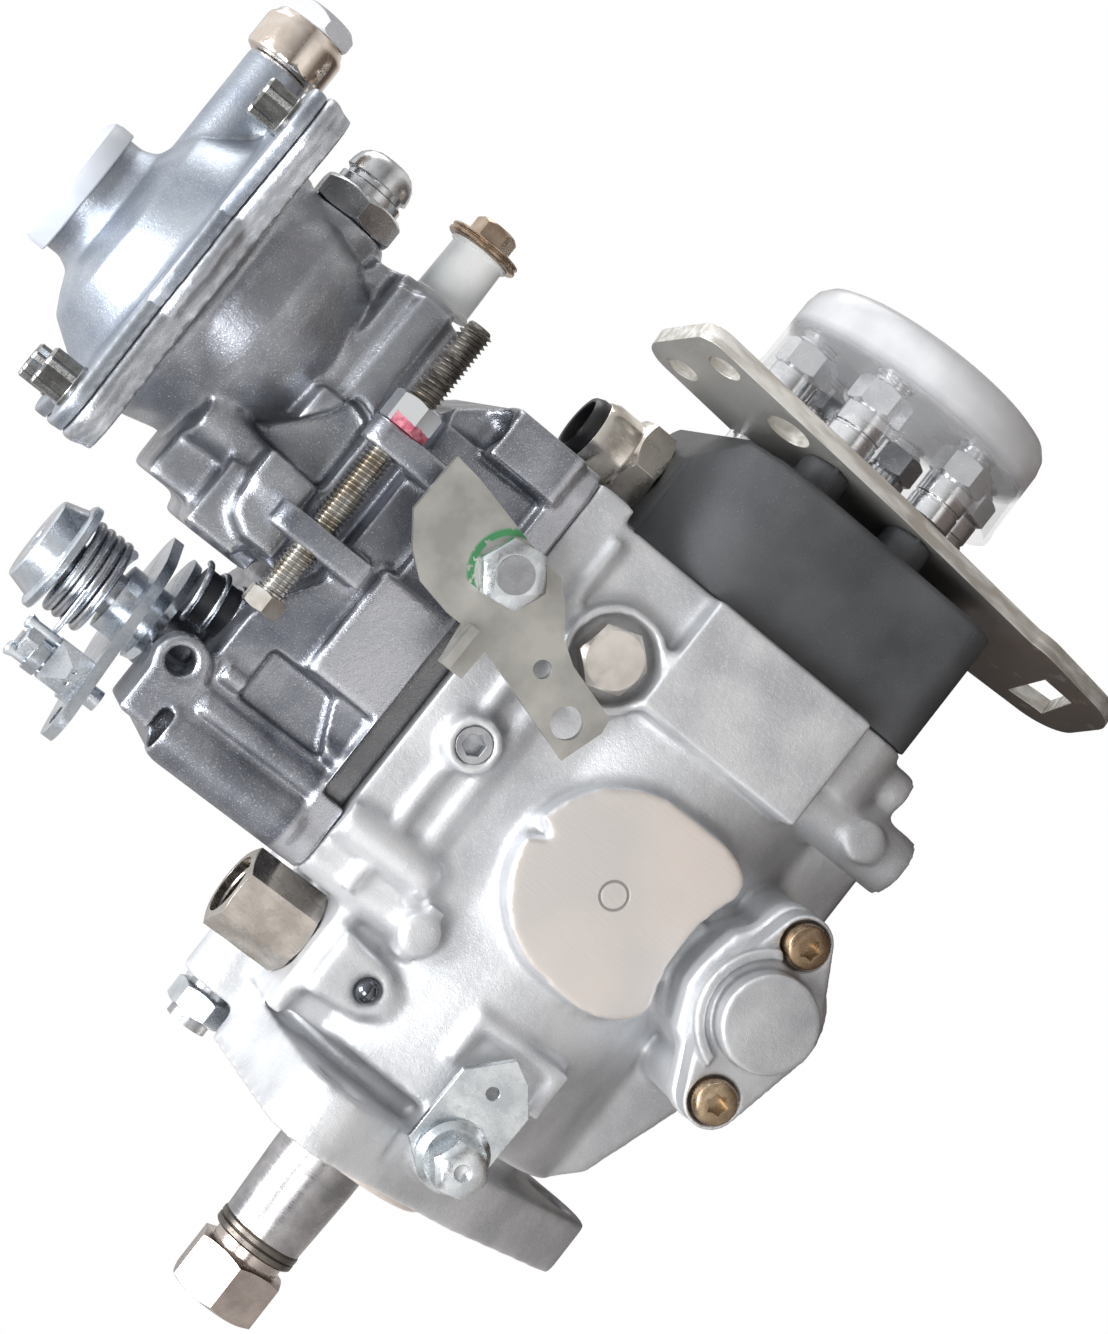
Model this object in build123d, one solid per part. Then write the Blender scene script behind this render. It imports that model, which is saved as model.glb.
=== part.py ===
from build123d import *
import math
import os

os.makedirs("parts", exist_ok=True)

# Frame: X runs along the drive axis from the mounting face to the distributor head, Z is up, the
# photographed side is -Y.

# Mounting flange
FLANGE_T = 14.0
FLANGE_R = 40.0
LUG_ANGLES = (156.0, 276.0, 36.0)
LUG_REACH = 52.0
LUG_R = 10.5
LUG_HOLE_R = 5.25
PILOT_R = 25.0
PILOT_L = 5.0

# Drive shaft
JOURNAL_R = 10.8
SHAFT_R = 10.0
TAPER_SMALL_R = 10.0
TAPER_START = -28.4
TAPER_END = -12.0
THREAD_R = 7.0
NUT_FLATS = 21.0
NUT_FRONT = -48.5
NUT_BACK = -36.0
WASHER_FRONT = -33.4
WASHER_BACK = TAPER_START - 1
WASHER_R = 10.3
RUNNING = 0.05

# Housing
HEAD_X = 142.0
BARREL_R = 43.0
BORE_R = 31.0
CAVITY_R = 34.0
CAVITY_X = 88.0
FRONT_WALL = 20.0
JOINT_Z = 54.0
SIDE_Y = 38.0
COVER_X0 = 42.5
COVER_X1 = 146.5
WALL = 6.0
DECK_Z = 41.0
PAD_Y = -46.0
PAD_X = 79.0
PAD_R = 23.2

# Governor
GOV_Z = 44.0
GEAR_X = 47.0
GEAR_W = 6.0
MODULE = 2.0
DRIVE_TEETH = 27
GOV_TEETH = 17
CAGE_END = 69.0
CAGE_R = 18.0
SLEEVE_R = 6.5
SLEEVE_X0 = 66.0
SLEEVE_X1 = 98.0

# Governor levers and metering spool
PIVOT_X = 107.0
PIVOT_Z = 28.0
SPOOL_X = PIVOT_X + 2.5
SPOOL_W = 11.0
SPOOL_R = 11.0
PLUNGER_R = 5.0
PLUNGER_END = 165.0

# Timing device
TIMING_X = 78.0
TIMING_Z = -40.0
TIMING_R = 8.5
TIMING_BOSS_R = 17.0
TIMING_END_Y = 50.0
RING_R = BORE_R - 0.1
RING_INNER = 20.0
RING_X0 = 70.0
RING_X1 = 86.0
ROLLER_R = 3.5

# Shaft lock bolt and its spacer plate
LOCK_X = 15.6
LOCK_Y = -48.6
LOCK_Z = -6.4

# Distributor head, valve holders and support plate
HEAD_END = 174.5
HEAD_HALF = 37.0
HEAD_TOP = HEAD_HALF + 1.3
PORT_X = 156.2
PLATE_X = HEAD_END + 2.5
PLATE_T = 4.0
PLATE_TURN = math.radians(10.0)
VALVE_PCD_R = 25.0
VALVE_ANGLES = (30.0, 90.0, 150.0, 210.0, 270.0, 330.0)
VALVE_R = 6.0
VALVE_THREAD_R = 4.6
VALVE_END = 206.5
CAP_X0 = 193.5
CAP_END = VALVE_END + 11.9
CAP_R = VALVE_PCD_R + 8.4
CAP_WALL = 1.2

# Boost compensator on the governor cover
LDA_X = 127.0
LDA_JOINT = 147.7
LDA_FLANGE_R = 36.0
LDA_EAR = 34.6
LDA_BASE_Z = 95.0

# Speed lever, stop lever and stop screws
THROTTLE_X = 63.0
THROTTLE_R = 5.0
STOP_X = 117.7
STOP_Z = 61.0
SCREW_Z = 95.0
SCREW_Y = -40.0
SCREW_R = 3.4


def along_x(x, y=0.0, z=0.0):
    return Plane(origin=(x, y, z), x_dir=(0, 1, 0), z_dir=(1, 0, 0))


def toward_near(y, x=0.0, z=0.0):
    return Plane(origin=(x, y, z), x_dir=(1, 0, 0), z_dir=(0, -1, 0))


def rod_x(start, end, radius, y=0.0, z=0.0):
    return extrude(along_x(start, y, z) * Circle(radius), end - start)


def rod_y(start, end, radius, x=0.0, z=0.0):
    return extrude(toward_near(end, x, z) * Circle(radius), end - start)


def rod_z(start, end, radius, x=0.0, y=0.0):
    return extrude(Plane(origin=(x, y, start)) * Circle(radius), end - start)


def hexagon(flats, turn=0.0):
    return RegularPolygon(flats / 2, 6, major_radius=False, rotation=turn)


def hex_x(start, end, flats, y=0.0, z=0.0, turn=0.0):
    body = extrude(along_x(start, y, z) * hexagon(flats, turn), end - start)
    return body & turned_x([(start, 0), (start, flats * 0.5), (start + 1, flats * 0.58),
                            (end - 1, flats * 0.58), (end, flats * 0.5), (end, 0)], y, z)


def hex_y(start, end, flats, x=0.0, z=0.0, turn=0.0):
    body = extrude(toward_near(end, x, z) * hexagon(flats, turn), end - start)
    return body & turned_y([(start, 0), (start, flats * 0.5), (start + 1, flats * 0.58),
                            (end, flats * 0.58), (end, 0)], x, z)


def hex_z(start, end, flats, x=0.0, y=0.0, turn=0.0):
    body = extrude(Plane(origin=(x, y, start)) * hexagon(flats, turn), end - start)
    return body & turned_z([(0, start), (flats * 0.58, start), (flats * 0.58, end - 1),
                            (flats * 0.5, end), (0, end)], x, y)


def block(x0, x1, y0, y1, z0, z1):
    middle = Pos((x0 + x1) / 2, (y0 + y1) / 2, (z0 + z1) / 2)
    return middle * Box(x1 - x0, y1 - y0, z1 - z0)


def turned_x(profile, y=0.0, z=0.0):
    face = Plane(origin=(0, y, z), x_dir=(1, 0, 0), z_dir=(0, -1, 0)) * Polygon(*profile, align=None)
    return revolve(face, Axis((0, y, z), (1, 0, 0)), 360)


def turned_y(profile, x=0.0, z=0.0):
    face = Plane(origin=(x, 0, z), x_dir=(0, 1, 0), z_dir=(-1, 0, 0)) * Polygon(
        *[(along, -radius) for along, radius in profile], align=None)
    return revolve(face, Axis((x, 0, z), (0, 1, 0)), 360)


def turned_z(profile, x=0.0, y=0.0):
    face = Plane(origin=(x, y, 0), x_dir=(1, 0, 0), z_dir=(0, -1, 0)) * Polygon(*profile, align=None)
    return revolve(face, Axis((x, y, 0), (0, 0, 1)), 360)


def slab_x(points, start, end):
    return extrude(along_x(start) * Polygon(*points, align=None), end - start, dir=(1, 0, 0))


def slab_y(points, start, end):
    return extrude(toward_near(end) * Polygon(*points, align=None), end - start, dir=(0, -1, 0))


def slab_z(points, start, end):
    return extrude(Plane(origin=(0, 0, start)) * Polygon(*points, align=None), end - start, dir=(0, 0, 1))


def web(circles):
    outline = Sketch() + [Pos(a, b) * Circle(r) for a, b, r in circles]
    return make_hull(outline.edges())


def polar(radius, angle, y=0.0, z=0.0):
    turn = math.radians(angle)
    return y + radius * math.cos(turn), z + radius * math.sin(turn)


def gear_outline(teeth, backlash, turn):
    pitch = MODULE * teeth / 2
    root = pitch - 1.2 * MODULE
    tip = pitch + 0.95 * MODULE
    base = pitch * math.cos(math.radians(20))
    half = math.pi / (2 * teeth) - backlash / (2 * pitch)
    roll = math.tan(math.radians(20)) - math.radians(20)
    points = []
    for tooth in range(teeth):
        middle = turn + tooth * 2 * math.pi / teeth
        flank = []
        for radius in (max(root, base), (max(root, base) + pitch) / 2, pitch, (pitch + tip) / 2, tip):
            press = math.acos(min(1.0, base / radius))
            flank.append((radius, half + roll - (math.tan(press) - press)))
        foot = flank[0][1]
        points.append((root, middle - foot))
        points.extend((radius, middle - wide) for radius, wide in flank if radius > root)
        points.extend((radius, middle + wide) for radius, wide in reversed(flank) if radius > root)
        points.append((root, middle + foot))
    return Polygon(*[(r * math.cos(a), r * math.sin(a)) for r, a in points], align=None)


def save(shape, name):
    export_step(shape, f"parts/{name}.step")


# Drive train

taper = turned_x([(NUT_FRONT + 1, 0), (NUT_FRONT + 1, THREAD_R), (TAPER_START - 1, THREAD_R),
                  (TAPER_START - 1, TAPER_SMALL_R), (TAPER_END, JOURNAL_R), (FRONT_WALL, JOURNAL_R),
                  (FRONT_WALL, SHAFT_R), (84, SHAFT_R), (84, 0)])
tongue = block(84, 88, -SHAFT_R + 2, SHAFT_R - 2, -3, 3)
save(taper + tongue, "drive_shaft")

shaft_nut = hex_x(NUT_FRONT, NUT_BACK, NUT_FLATS, turn=-11) + rod_x(NUT_BACK, WASHER_FRONT, 8.7)
shaft_nut -= rod_x(NUT_FRONT - 1, WASHER_FRONT + 1, THREAD_R)
save(shaft_nut, "shaft_nut")
shaft_washer = (rod_x(WASHER_FRONT, WASHER_BACK, WASHER_R)
                - rod_x(WASHER_FRONT - 1, WASHER_BACK + 1, THREAD_R))
save(shaft_washer, "shaft_washer")

PUMP_X0 = FRONT_WALL
PUMP_X1 = PUMP_X0 + 14
PUMP_BORE = 23.0
PUMP_OFFSET = 2.0
ROTOR_R = PUMP_BORE - PUMP_OFFSET - 0.5
pump_ring = rod_x(PUMP_X0, PUMP_X1, BORE_R) - rod_x(PUMP_X0 - 1, PUMP_X1 + 1, PUMP_BORE, 0, PUMP_OFFSET)
save(pump_ring, "supply_pump_ring")
rotor = rod_x(PUMP_X0 + 0.3, PUMP_X1 - 0.3, ROTOR_R) - rod_x(PUMP_X0, PUMP_X1, SHAFT_R)
vanes = []
for quarter in range(4):
    spin = Rot(quarter * 90 + 20, 0, 0)
    rotor -= spin * block(PUMP_X0, PUMP_X1, SHAFT_R + 3, PUMP_BORE, -1.2, 1.2)
    vanes.append(spin * block(PUMP_X0 + 0.4, PUMP_X1 - 0.4, SHAFT_R + 3.2, ROTOR_R + 0.2, -1.1, 1.1))
save(rotor, "vane_rotor")
save(Compound(children=vanes), "supply_vanes")

gear = extrude(along_x(GEAR_X) * gear_outline(DRIVE_TEETH, 0.16, math.pi / 2), GEAR_W)
gear = gear + rod_x(GEAR_X - 2, GEAR_X + GEAR_W + 2, 14)
save(gear - rod_x(GEAR_X - 3, GEAR_X + GEAR_W + 3, SHAFT_R), "drive_gear")

CAM_X = RING_X1 + 6.2
cam_plate = rod_x(CAM_X, CAM_X + 7, 29) + rod_x(84, CAM_X, 16) + rod_x(CAM_X + 7, CAM_X + 8, 12)
for lobe in range(6):
    ramp = Plane(origin=(0, 0, 19), x_dir=(1, 0, 0), z_dir=(0, 0, 1)) * Polygon(
        (CAM_X + 1, -9), (CAM_X, -9), (CAM_X - 1.8, -2.5), (CAM_X - 1.8, 2.5), (CAM_X, 9), (CAM_X + 1, 9),
        align=None)
    cam_plate += Rot(lobe * 60, 0, 0) * extrude(ramp, 9.5)
cam_plate -= tongue
cam_plate -= rod_x(CAM_X + 4, CAM_X + 10, PLUNGER_R)
save(cam_plate, "cam_plate")
save(rod_x(CAM_X + 4, PLUNGER_END, PLUNGER_R), "distributor_plunger")

# Roller ring and timing piston

ring = rod_x(RING_X0, RING_X1, RING_R) - rod_x(RING_X0 - 1, RING_X1 + 1, RING_INNER)
rollers = []
for quarter in range(4):
    spin = Rot(quarter * 90 + 45, 0, 0)
    ring -= spin * rod_z(20.8, RING_R + 2, ROLLER_R + 0.05, RING_X1 + 0.2)
    rollers.append(spin * rod_z(21.2, RING_R - 1.5, ROLLER_R, RING_X1 + 0.2))
ring -= block(TIMING_X - 3.3, TIMING_X + 3.3, -4.2, 4.2, -RING_R - 1, -25.5)
save(ring, "roller_ring")
save(Compound(children=rollers), "cam_rollers")
piston = rod_y(-21, 21, TIMING_R, TIMING_X, TIMING_Z)
piston -= (rod_y(-22, -12, TIMING_R - 3, TIMING_X, TIMING_Z)
           + rod_y(12, 22, TIMING_R - 3, TIMING_X, TIMING_Z))
piston += rod_z(TIMING_Z, -26.5, 3.0, TIMING_X)
save(piston, "timing_piston")

# Governor group

gov_turn = -math.pi / 2 + math.pi / GOV_TEETH
cage = extrude(along_x(GEAR_X, 0, GOV_Z) * gear_outline(GOV_TEETH, 0.16, gov_turn), GEAR_W)
cage += rod_x(GEAR_X + GEAR_W, CAGE_END, 9.2, 0, GOV_Z)
cage += rod_x(GEAR_X + GEAR_W + 0.6, GEAR_X + GEAR_W + 2.4, CAGE_R, 0, GOV_Z)
GOV_SHAFT_R = 4.0
FLY_X0 = GEAR_X + GEAR_W + 4.5
for quarter in range(4):
    spin = Pos(0, 0, GOV_Z) * Rot(quarter * 90 + 45, 0, 0) * Pos(0, 0, -GOV_Z)
    cage += spin * block(GEAR_X + GEAR_W + 1, CAGE_END, -2, 2, GOV_Z + 8, GOV_Z + CAGE_R - 1)
cage -= rod_x(GEAR_X - 1, CAGE_END + 1, GOV_SHAFT_R + RUNNING, 0, GOV_Z)
cage -= rod_x(SLEEVE_X0 - 2, CAGE_END + 1, SLEEVE_R + 0.3, 0, GOV_Z)
save(cage, "governor_cage")
weights = []
for quarter in range(4):
    spin = Pos(0, 0, GOV_Z) * Rot(quarter * 90, 0, 0) * Pos(0, 0, -GOV_Z)
    weight = block(FLY_X0, CAGE_END - 2, -6, 6, GOV_Z + 10, GOV_Z + 17)
    weight &= rod_x(FLY_X0, CAGE_END + 1, CAGE_R - 0.5, 0, GOV_Z)
    save(spin * weight, f"flyweight_{quarter + 1}")

gov_shaft = rod_x(3, SLEEVE_X1 + 4.2, GOV_SHAFT_R, 0, GOV_Z) + rod_x(-2, 40, 5.0, 0, GOV_Z)
save(gov_shaft, "governor_shaft")
gov_nut = hex_x(0.5, 6.5, 13, 0, GOV_Z, 12) + rod_x(6.5, 8, 8, 0, GOV_Z)
save(gov_nut - rod_x(-1, 9, 5.0, 0, GOV_Z), "governor_shaft_nut")
sleeve = (rod_x(SLEEVE_X0, SLEEVE_X1, SLEEVE_R, 0, GOV_Z)
          + rod_x(CAGE_END + 0.6, CAGE_END + 2.6, 9, 0, GOV_Z))
save(sleeve - rod_x(SLEEVE_X0 - 1, SLEEVE_X1 + 1, GOV_SHAFT_R + RUNNING, 0, GOV_Z), "governor_sleeve")

lever_gap = 0.6
lever = slab_y([(PIVOT_X - 4.5, PIVOT_Z - 5), (PIVOT_X + 4.5, PIVOT_Z - 5), (PIVOT_X + 4, PIVOT_Z + 8),
                (PIVOT_X, 74), (PIVOT_X - 4, 74), (PIVOT_X - 4.5, PIVOT_Z + 8)], -11, 11)
lever -= block(90, 120, -8.5, 8.5, PIVOT_Z - 6, 68)
lever += rod_y(-33, 33, 3.0, PIVOT_X, PIVOT_Z)
lever += block(SLEEVE_X1 + lever_gap, SLEEVE_X1 + lever_gap + 6, -11, 11, GOV_Z + 5.5, GOV_Z + 9)
lever -= rod_x(80, 120, GOV_SHAFT_R + 3, 0, GOV_Z)
lever += rod_z(SPOOL_R - 2, PIVOT_Z, 1.8, PIVOT_X + 1.5)
lever += block(PIVOT_X - 3, PIVOT_X + 3, -11, 11, PIVOT_Z - 3, PIVOT_Z + 3)
save(lever, "governor_lever")

spool = rod_x(SPOOL_X - SPOOL_W / 2, SPOOL_X + SPOOL_W / 2, SPOOL_R)
spool -= rod_x(SPOOL_X - SPOOL_W, SPOOL_X + SPOOL_W, PLUNGER_R + RUNNING)
spool -= rod_x(PIVOT_X + 1.5 - 3, PIVOT_X + 1.5 + 3, SPOOL_R + 1) - rod_x(0, 200, SPOOL_R - 2.8)
save(spool, "control_spool")

# Pump housing

head_outline = web([(-13, 14, HEAD_HALF - 13), (13, 14, HEAD_HALF - 13), (-HEAD_HALF + 8, -31, 8),
                    (HEAD_HALF - 8, -31, 8)])
lugs = [polar(LUG_REACH, angle) for angle in LUG_ANGLES]
housing = extrude(along_x(0) * web([(0, 0, FLANGE_R)] + [(y, z, LUG_R) for y, z in lugs]), FLANGE_T)
housing += rod_x(-PILOT_L, 0, PILOT_R) + rod_x(FLANGE_T - 1, FRONT_WALL + 2, 36.5)
housing += rod_x(FRONT_WALL - 1, HEAD_X, BARREL_R)
housing += extrude(along_x(HEAD_X - 16) * head_outline, 16)
belly = [(FRONT_WALL - 1, -36), (26, -44), (50, -53), (HEAD_X - 20, -53), (HEAD_X - 20, 0),
         (FRONT_WALL - 1, 0)]
housing += slab_y(belly, -22, 22)
upper = (block(COVER_X0, HEAD_X + 3.5, -SIDE_Y, SIDE_Y, 0, JOINT_Z)
         - block(HEAD_X, HEAD_X + 5, -60, 60, -60, 45))
housing += fillet(upper.edges().filter_by(Axis.Z).sort_by(Axis.X)[:2], 5)
housing += block(FRONT_WALL - 2, COVER_X0 + 1, -33, 33, 5, DECK_Z)
housing += block(FRONT_WALL - 4, COVER_X0 + 1, -35, 35, DECK_Z - 4, DECK_Z)
housing += rod_x(8, COVER_X0 + 1, 8.4, 0, GOV_Z) + block(8, COVER_X0 + 1, -8.4, 8.4, 20, GOV_Z)
housing += (block(COVER_X0 + 3, HEAD_X - 4, -SIDE_Y - 2, -SIDE_Y, 42.5, 45)
            + block(60, 112, -SIDE_Y - 1.5, -SIDE_Y, 34, 37))
housing += rod_z(33, JOINT_Z, 5.2, 57.5, -SIDE_Y + 1) + Pos(57.5, -SIDE_Y + 1, 33) * Sphere(5.2)
housing += (rod_y(PAD_Y, 0, PAD_R, PAD_X, -1)
            - slab_y([(PAD_X - 3, 26), (PAD_X + 1.3, 17.2), (PAD_X + 5.6, 26)], PAD_Y - 1, -41))
housing += block(113.5, HEAD_X, -45, 0, -24, 20)
housing += (rod_y(-43.5, -30, 11.8, STOP_X, 30) + rod_y(-43.5, -30, 6.3, 85.7, 42.4)
            + rod_y(30, 43.5, 6.3, 85.7, 42.4))
housing += slab_y([(23.8, 38), (39.2, 38), (37.6, 25), (34, 19.8), (29, 19.8), (25.4, 25)], -39.5, -20)
housing += rod_y(-43, -30, 4.8, 47.4, 26) + slab_y([(41, 24), (54, 24), (54, 28), (41, 28)], -41.5, -30)
housing += (rod_z(-54, -20, 7.5, 121.7, -29) + rod_y(-37.5, -28, 5, 121.7, -42)
            + rod_z(-46, -20, 5.2, 135, -27))
housing += (rod_y(LOCK_Y, -30, 8.5, LOCK_X, LOCK_Z) + block(31, 43, -44.5, -30, -19, 6)
            - block(31, 40, -46, -43, -16, 3))

ears = [(TIMING_X - 20, TIMING_Z - 2.5), (TIMING_X + 17.5, TIMING_Z + 2.5)]
housing += rod_y(-TIMING_END_Y, TIMING_END_Y, TIMING_BOSS_R, TIMING_X, TIMING_Z)
for side in (-1, 1):
    low, high = sorted((side * TIMING_END_Y, side * 20))
    for x, z in ears:
        housing += rod_y(low, high, 6.5, x, z)
    low, high = sorted((side * TIMING_END_Y, side * (TIMING_END_Y - 5)))
    housing += extrude(toward_near(high) * web([(TIMING_X, TIMING_Z, 14)] + [(x, z, 7) for x, z in ears]),
                       high - low)

# Hollows of the housing
housing -= rod_x(-PILOT_L - 1, FRONT_WALL + 1, JOURNAL_R + RUNNING)
housing -= rod_x(FRONT_WALL, CAVITY_X, BORE_R) + rod_x(CAVITY_X - 1, HEAD_X + 1, CAVITY_R)
housing -= block(GEAR_X - 1, HEAD_X - 10, -31, 31, 24, JOINT_Z + 1)
housing -= rod_x(-1, GEAR_X, 5.0, 0, GOV_Z) + rod_x(-1, 8, 8.6, 0, GOV_Z)
housing -= rod_y(-TIMING_END_Y - 1, TIMING_END_Y + 1, TIMING_R + RUNNING, TIMING_X, TIMING_Z)
housing -= block(TIMING_X - 3.6, TIMING_X + 3.6, -10, 10, TIMING_Z, -25)
housing -= rod_y(-33.5, 33.5, 3.05, PIVOT_X, PIVOT_Z)
housing -= rod_y(-45, -38, 9.8, STOP_X, 30) + rod_y(-45, -31, 4, STOP_X, 30)
for x, z in ears:
    for side in (-1, 1):
        low, high = sorted((side * (TIMING_END_Y + 1), side * (TIMING_END_Y - 16)))
        housing -= rod_y(low, high, 3, x, z)
for angle in LUG_ANGLES:
    y, z = polar(LUG_REACH, angle)
    housing -= rod_x(-1, FLANGE_T + 1, LUG_HOLE_R, y, z)

INLET = (30.6, -21.0)
BALL_R = 2.8
BALL_AT = (31.4, -39.2, 26.7)
head_bolts_at = [(-27.4, 26), (27.4, 26), (-28, -29), (28, -29)]
housing -= rod_z(DECK_Z, DECK_Z + 9, 11.4, *INLET) + block(6, FLANGE_T + 1, -60, LOCK_Y, -12, 6)
housing -= rod_z(33, DECK_Z + 1, 7.5, *INLET) + rod_z(20, 34, 5.6, *INLET)
housing -= rod_y(-55, -28, 3.5, LOCK_X, LOCK_Z) + rod_y(-40.5, -36, BALL_R, BALL_AT[0], BALL_AT[2])
for side in (-1, 1):
    low, high = sorted((side * 44, side * 31))
    housing -= rod_y(low, high, 4, 85.7, 42.4)
COVER_SCREWS = [(49, -34), (49, 34), (140, -34), (140, 34)]
for x, y in COVER_SCREWS:
    housing -= rod_z(JOINT_Z - 12, JOINT_Z + 1, 2.6, x, y)
for y, z in head_bolts_at:
    housing -= rod_x(HEAD_X - 14, HEAD_X + 1, 3, y, z)
save(housing, "pump_housing")

inlet = hex_z(DECK_Z, 60, 17.6, INLET[0], INLET[1]) + rod_z(33, DECK_Z, 7.5, *INLET)
save(inlet - rod_z(32, 61, 5.6, *INLET) - rod_z(52, 61, 7.2, *INLET), "inlet_fitting")
LOCK_T = 2.0
lock_bolt = rod_y(LOCK_Y - LOCK_T - 3, LOCK_Y - LOCK_T, 8, LOCK_X, LOCK_Z)
lock_bolt += (hex_y(LOCK_Y - LOCK_T - 12, LOCK_Y - LOCK_T - 3, 11, LOCK_X, LOCK_Z, 10)
              + rod_y(LOCK_Y - LOCK_T, -29, 3.5, LOCK_X, LOCK_Z))
save(lock_bolt - rod_y(-70, LOCK_Y - LOCK_T - 11, 1.6, LOCK_X, LOCK_Z), "lock_bolt")
plate_corners = [(9.6, -1.5), (13.6, 3.6), (31.5, 3.2), (39.6, -5), (36.8, -10.4), (31.2, -15),
                 (16.5, -14.6), (9.2, -10.8)]
lock_plate = slab_y(plate_corners, LOCK_Y - LOCK_T, LOCK_Y)
save(lock_plate - rod_y(-60, -40, 3.5, LOCK_X, LOCK_Z) - rod_y(-60, -40, 1.4, 31, -5.2), "lock_plate")
save(Pos(*BALL_AT) * Sphere(BALL_R), "ball_plug")
pivots = []
for side in (-1, 1):
    low, high = sorted((side * 43.2, side * 32))
    inner, outer = sorted((side * 44, side * 40))
    pivots.append(rod_y(low, high, 4, 85.7, 42.4)
                  - extrude(toward_near(outer, 85.7, 42.4) * hexagon(4.4), outer - inner))
save(Compound(children=pivots), "pivot_screws")
save(hex_y(-44, -38, 13.5, STOP_X, 30, 12) + rod_y(-38, -31.5, 4, STOP_X, 30), "access_plug")

# Timing covers

covers = []
for side in (-1, 1):
    plate = extrude(toward_near(-TIMING_END_Y)
                    * web([(TIMING_X, TIMING_Z, 13.5)] + [(x, z, 6.5) for x, z in ears]), 7)
    plate += rod_y(-TIMING_END_Y - 13, -TIMING_END_Y - 6, 10.9, TIMING_X, TIMING_Z)
    arc = (rod_y(-TIMING_END_Y - 9, -TIMING_END_Y - 6, 15.4, TIMING_X, TIMING_Z)
           - rod_y(-70, -50, 13.2, TIMING_X, TIMING_Z))
    plate += arc & block(TIMING_X - 16, TIMING_X + 16, -70, -50, TIMING_Z + 4, TIMING_Z + 20)
    for x, z in ears:
        plate -= rod_y(-TIMING_END_Y - 10, -TIMING_END_Y + 1, 3, x, z)
        plate -= rod_y(-TIMING_END_Y - 10, -TIMING_END_Y - 5, 5.6, x, z)
    plate -= rod_y(-TIMING_END_Y - 8, -TIMING_END_Y + 1, TIMING_R, TIMING_X, TIMING_Z)
    covers.append(plate if side < 0 else mirror(plate, about=Plane.XZ))
save(Compound(children=covers), "timing_covers")
screws = []
for x, z in ears:
    for side in (-1, 1):
        screw = (rod_y(-TIMING_END_Y - 5, -TIMING_END_Y + 14, 3, x, z)
                 + rod_y(-TIMING_END_Y - 10, -TIMING_END_Y - 5, 5, x, z))
        screw -= extrude(toward_near(-TIMING_END_Y - 7, x, z) * RegularPolygon(2.8, 6), 4)
        screws.append(screw if side < 0 else mirror(screw, about=Plane.XZ))
save(Compound(children=screws), "timing_cover_screws")

# Governor cover

LEFT_TOP = 95.0
RIGHT_TOP = 87.0
profile = [(COVER_X0, JOINT_Z), (COVER_X1, JOINT_Z), (COVER_X1, 77), (COVER_X1 - 8, RIGHT_TOP),
           (93, RIGHT_TOP), (84, 93), (78, LEFT_TOP), (COVER_X0 + 2, LEFT_TOP), (COVER_X0, LEFT_TOP - 3)]
cover = slab_y(profile, -35, 35)
cover += fillet(block(COVER_X0, COVER_X1, -38.5, 38.5, JOINT_Z, JOINT_Z + 7).edges().filter_by(Axis.Z), 5)
cover += block(98, 136, -26, 26, RIGHT_TOP - 2, LDA_BASE_Z) + block(84, 98, -24, 24, 85, LDA_BASE_Z)
cover += block(47, 61, -37, -12, 85, 104.5) - rod_y(-38, -30, 4.5, 61.5, 100)
cover += rod_z(85, 105, 9, THROTTLE_X, 0) + block(80, 119, -37.5, -30, 62, 76)
cover += block(134, COVER_X1, -38.5, -30, 59, 78) + rod_y(-48.5, -30, 7, STOP_X, STOP_Z)
for x, width, top in ((95.5, 6, 105.5), (121, 6, 101)):
    cover += (block(x, x + width, SCREW_Y - 4.5, SCREW_Y + 8, 82, top - 3)
              + rod_x(x, x + width, 4.5, SCREW_Y, top - 4.5))
for x in (46.5, 53, 59.5, 66):
    cover += rod_z(60, 92, 2.2, x, -35)
inner = [(COVER_X0 + 3.5, JOINT_Z - 1), (COVER_X1 - 9.5, JOINT_Z - 1), (COVER_X1 - 9.5, 76),
         (COVER_X1 - 14, RIGHT_TOP - 5),
         (92, RIGHT_TOP - 5), (82, 88), (76, LEFT_TOP - 5), (COVER_X0 + 3.5, LEFT_TOP - 5)]
cover -= slab_y(inner, -30, 30)
cover -= rod_z(80, 106, THROTTLE_R + RUNNING, THROTTLE_X, 0) + rod_y(-50, -25, 4 + RUNNING, STOP_X, STOP_Z)
cover -= rod_x(80, 150, SCREW_R, SCREW_Y, SCREW_Z) + rod_z(80, LDA_BASE_Z + 1, 8, LDA_X, 0)
for x, y in COVER_SCREWS:
    cover += rod_z(JOINT_Z, 63, 5, x, y)
    cover -= rod_z(JOINT_Z - 1, 64, 2.6, x, y) + rod_z(63, 72 if x < 90 else 100, 5.2, x, y)
save(cover, "governor_cover")
cover_screws = []
for x, y in COVER_SCREWS:
    cover_screws.append(rod_z(JOINT_Z - 12, 63, 2.6, x, y) + rod_z(63, 68, 4.6, x, y)
                        - extrude(Plane(origin=(x, y, 65.5)) * hexagon(4), 3))
save(Compound(children=cover_screws), "cover_screws")
screw = rod_x(84, 153.5, SCREW_R, SCREW_Y, SCREW_Z) + hex_x(80, 84, 8, SCREW_Y, SCREW_Z)
save(screw, "speed_stop_screw")
save(hex_x(127, 134, 10, SCREW_Y, SCREW_Z, 10) - rod_x(120, 140, SCREW_R, SCREW_Y, SCREW_Z),
     "stop_screw_nut")

# Speed lever

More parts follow.
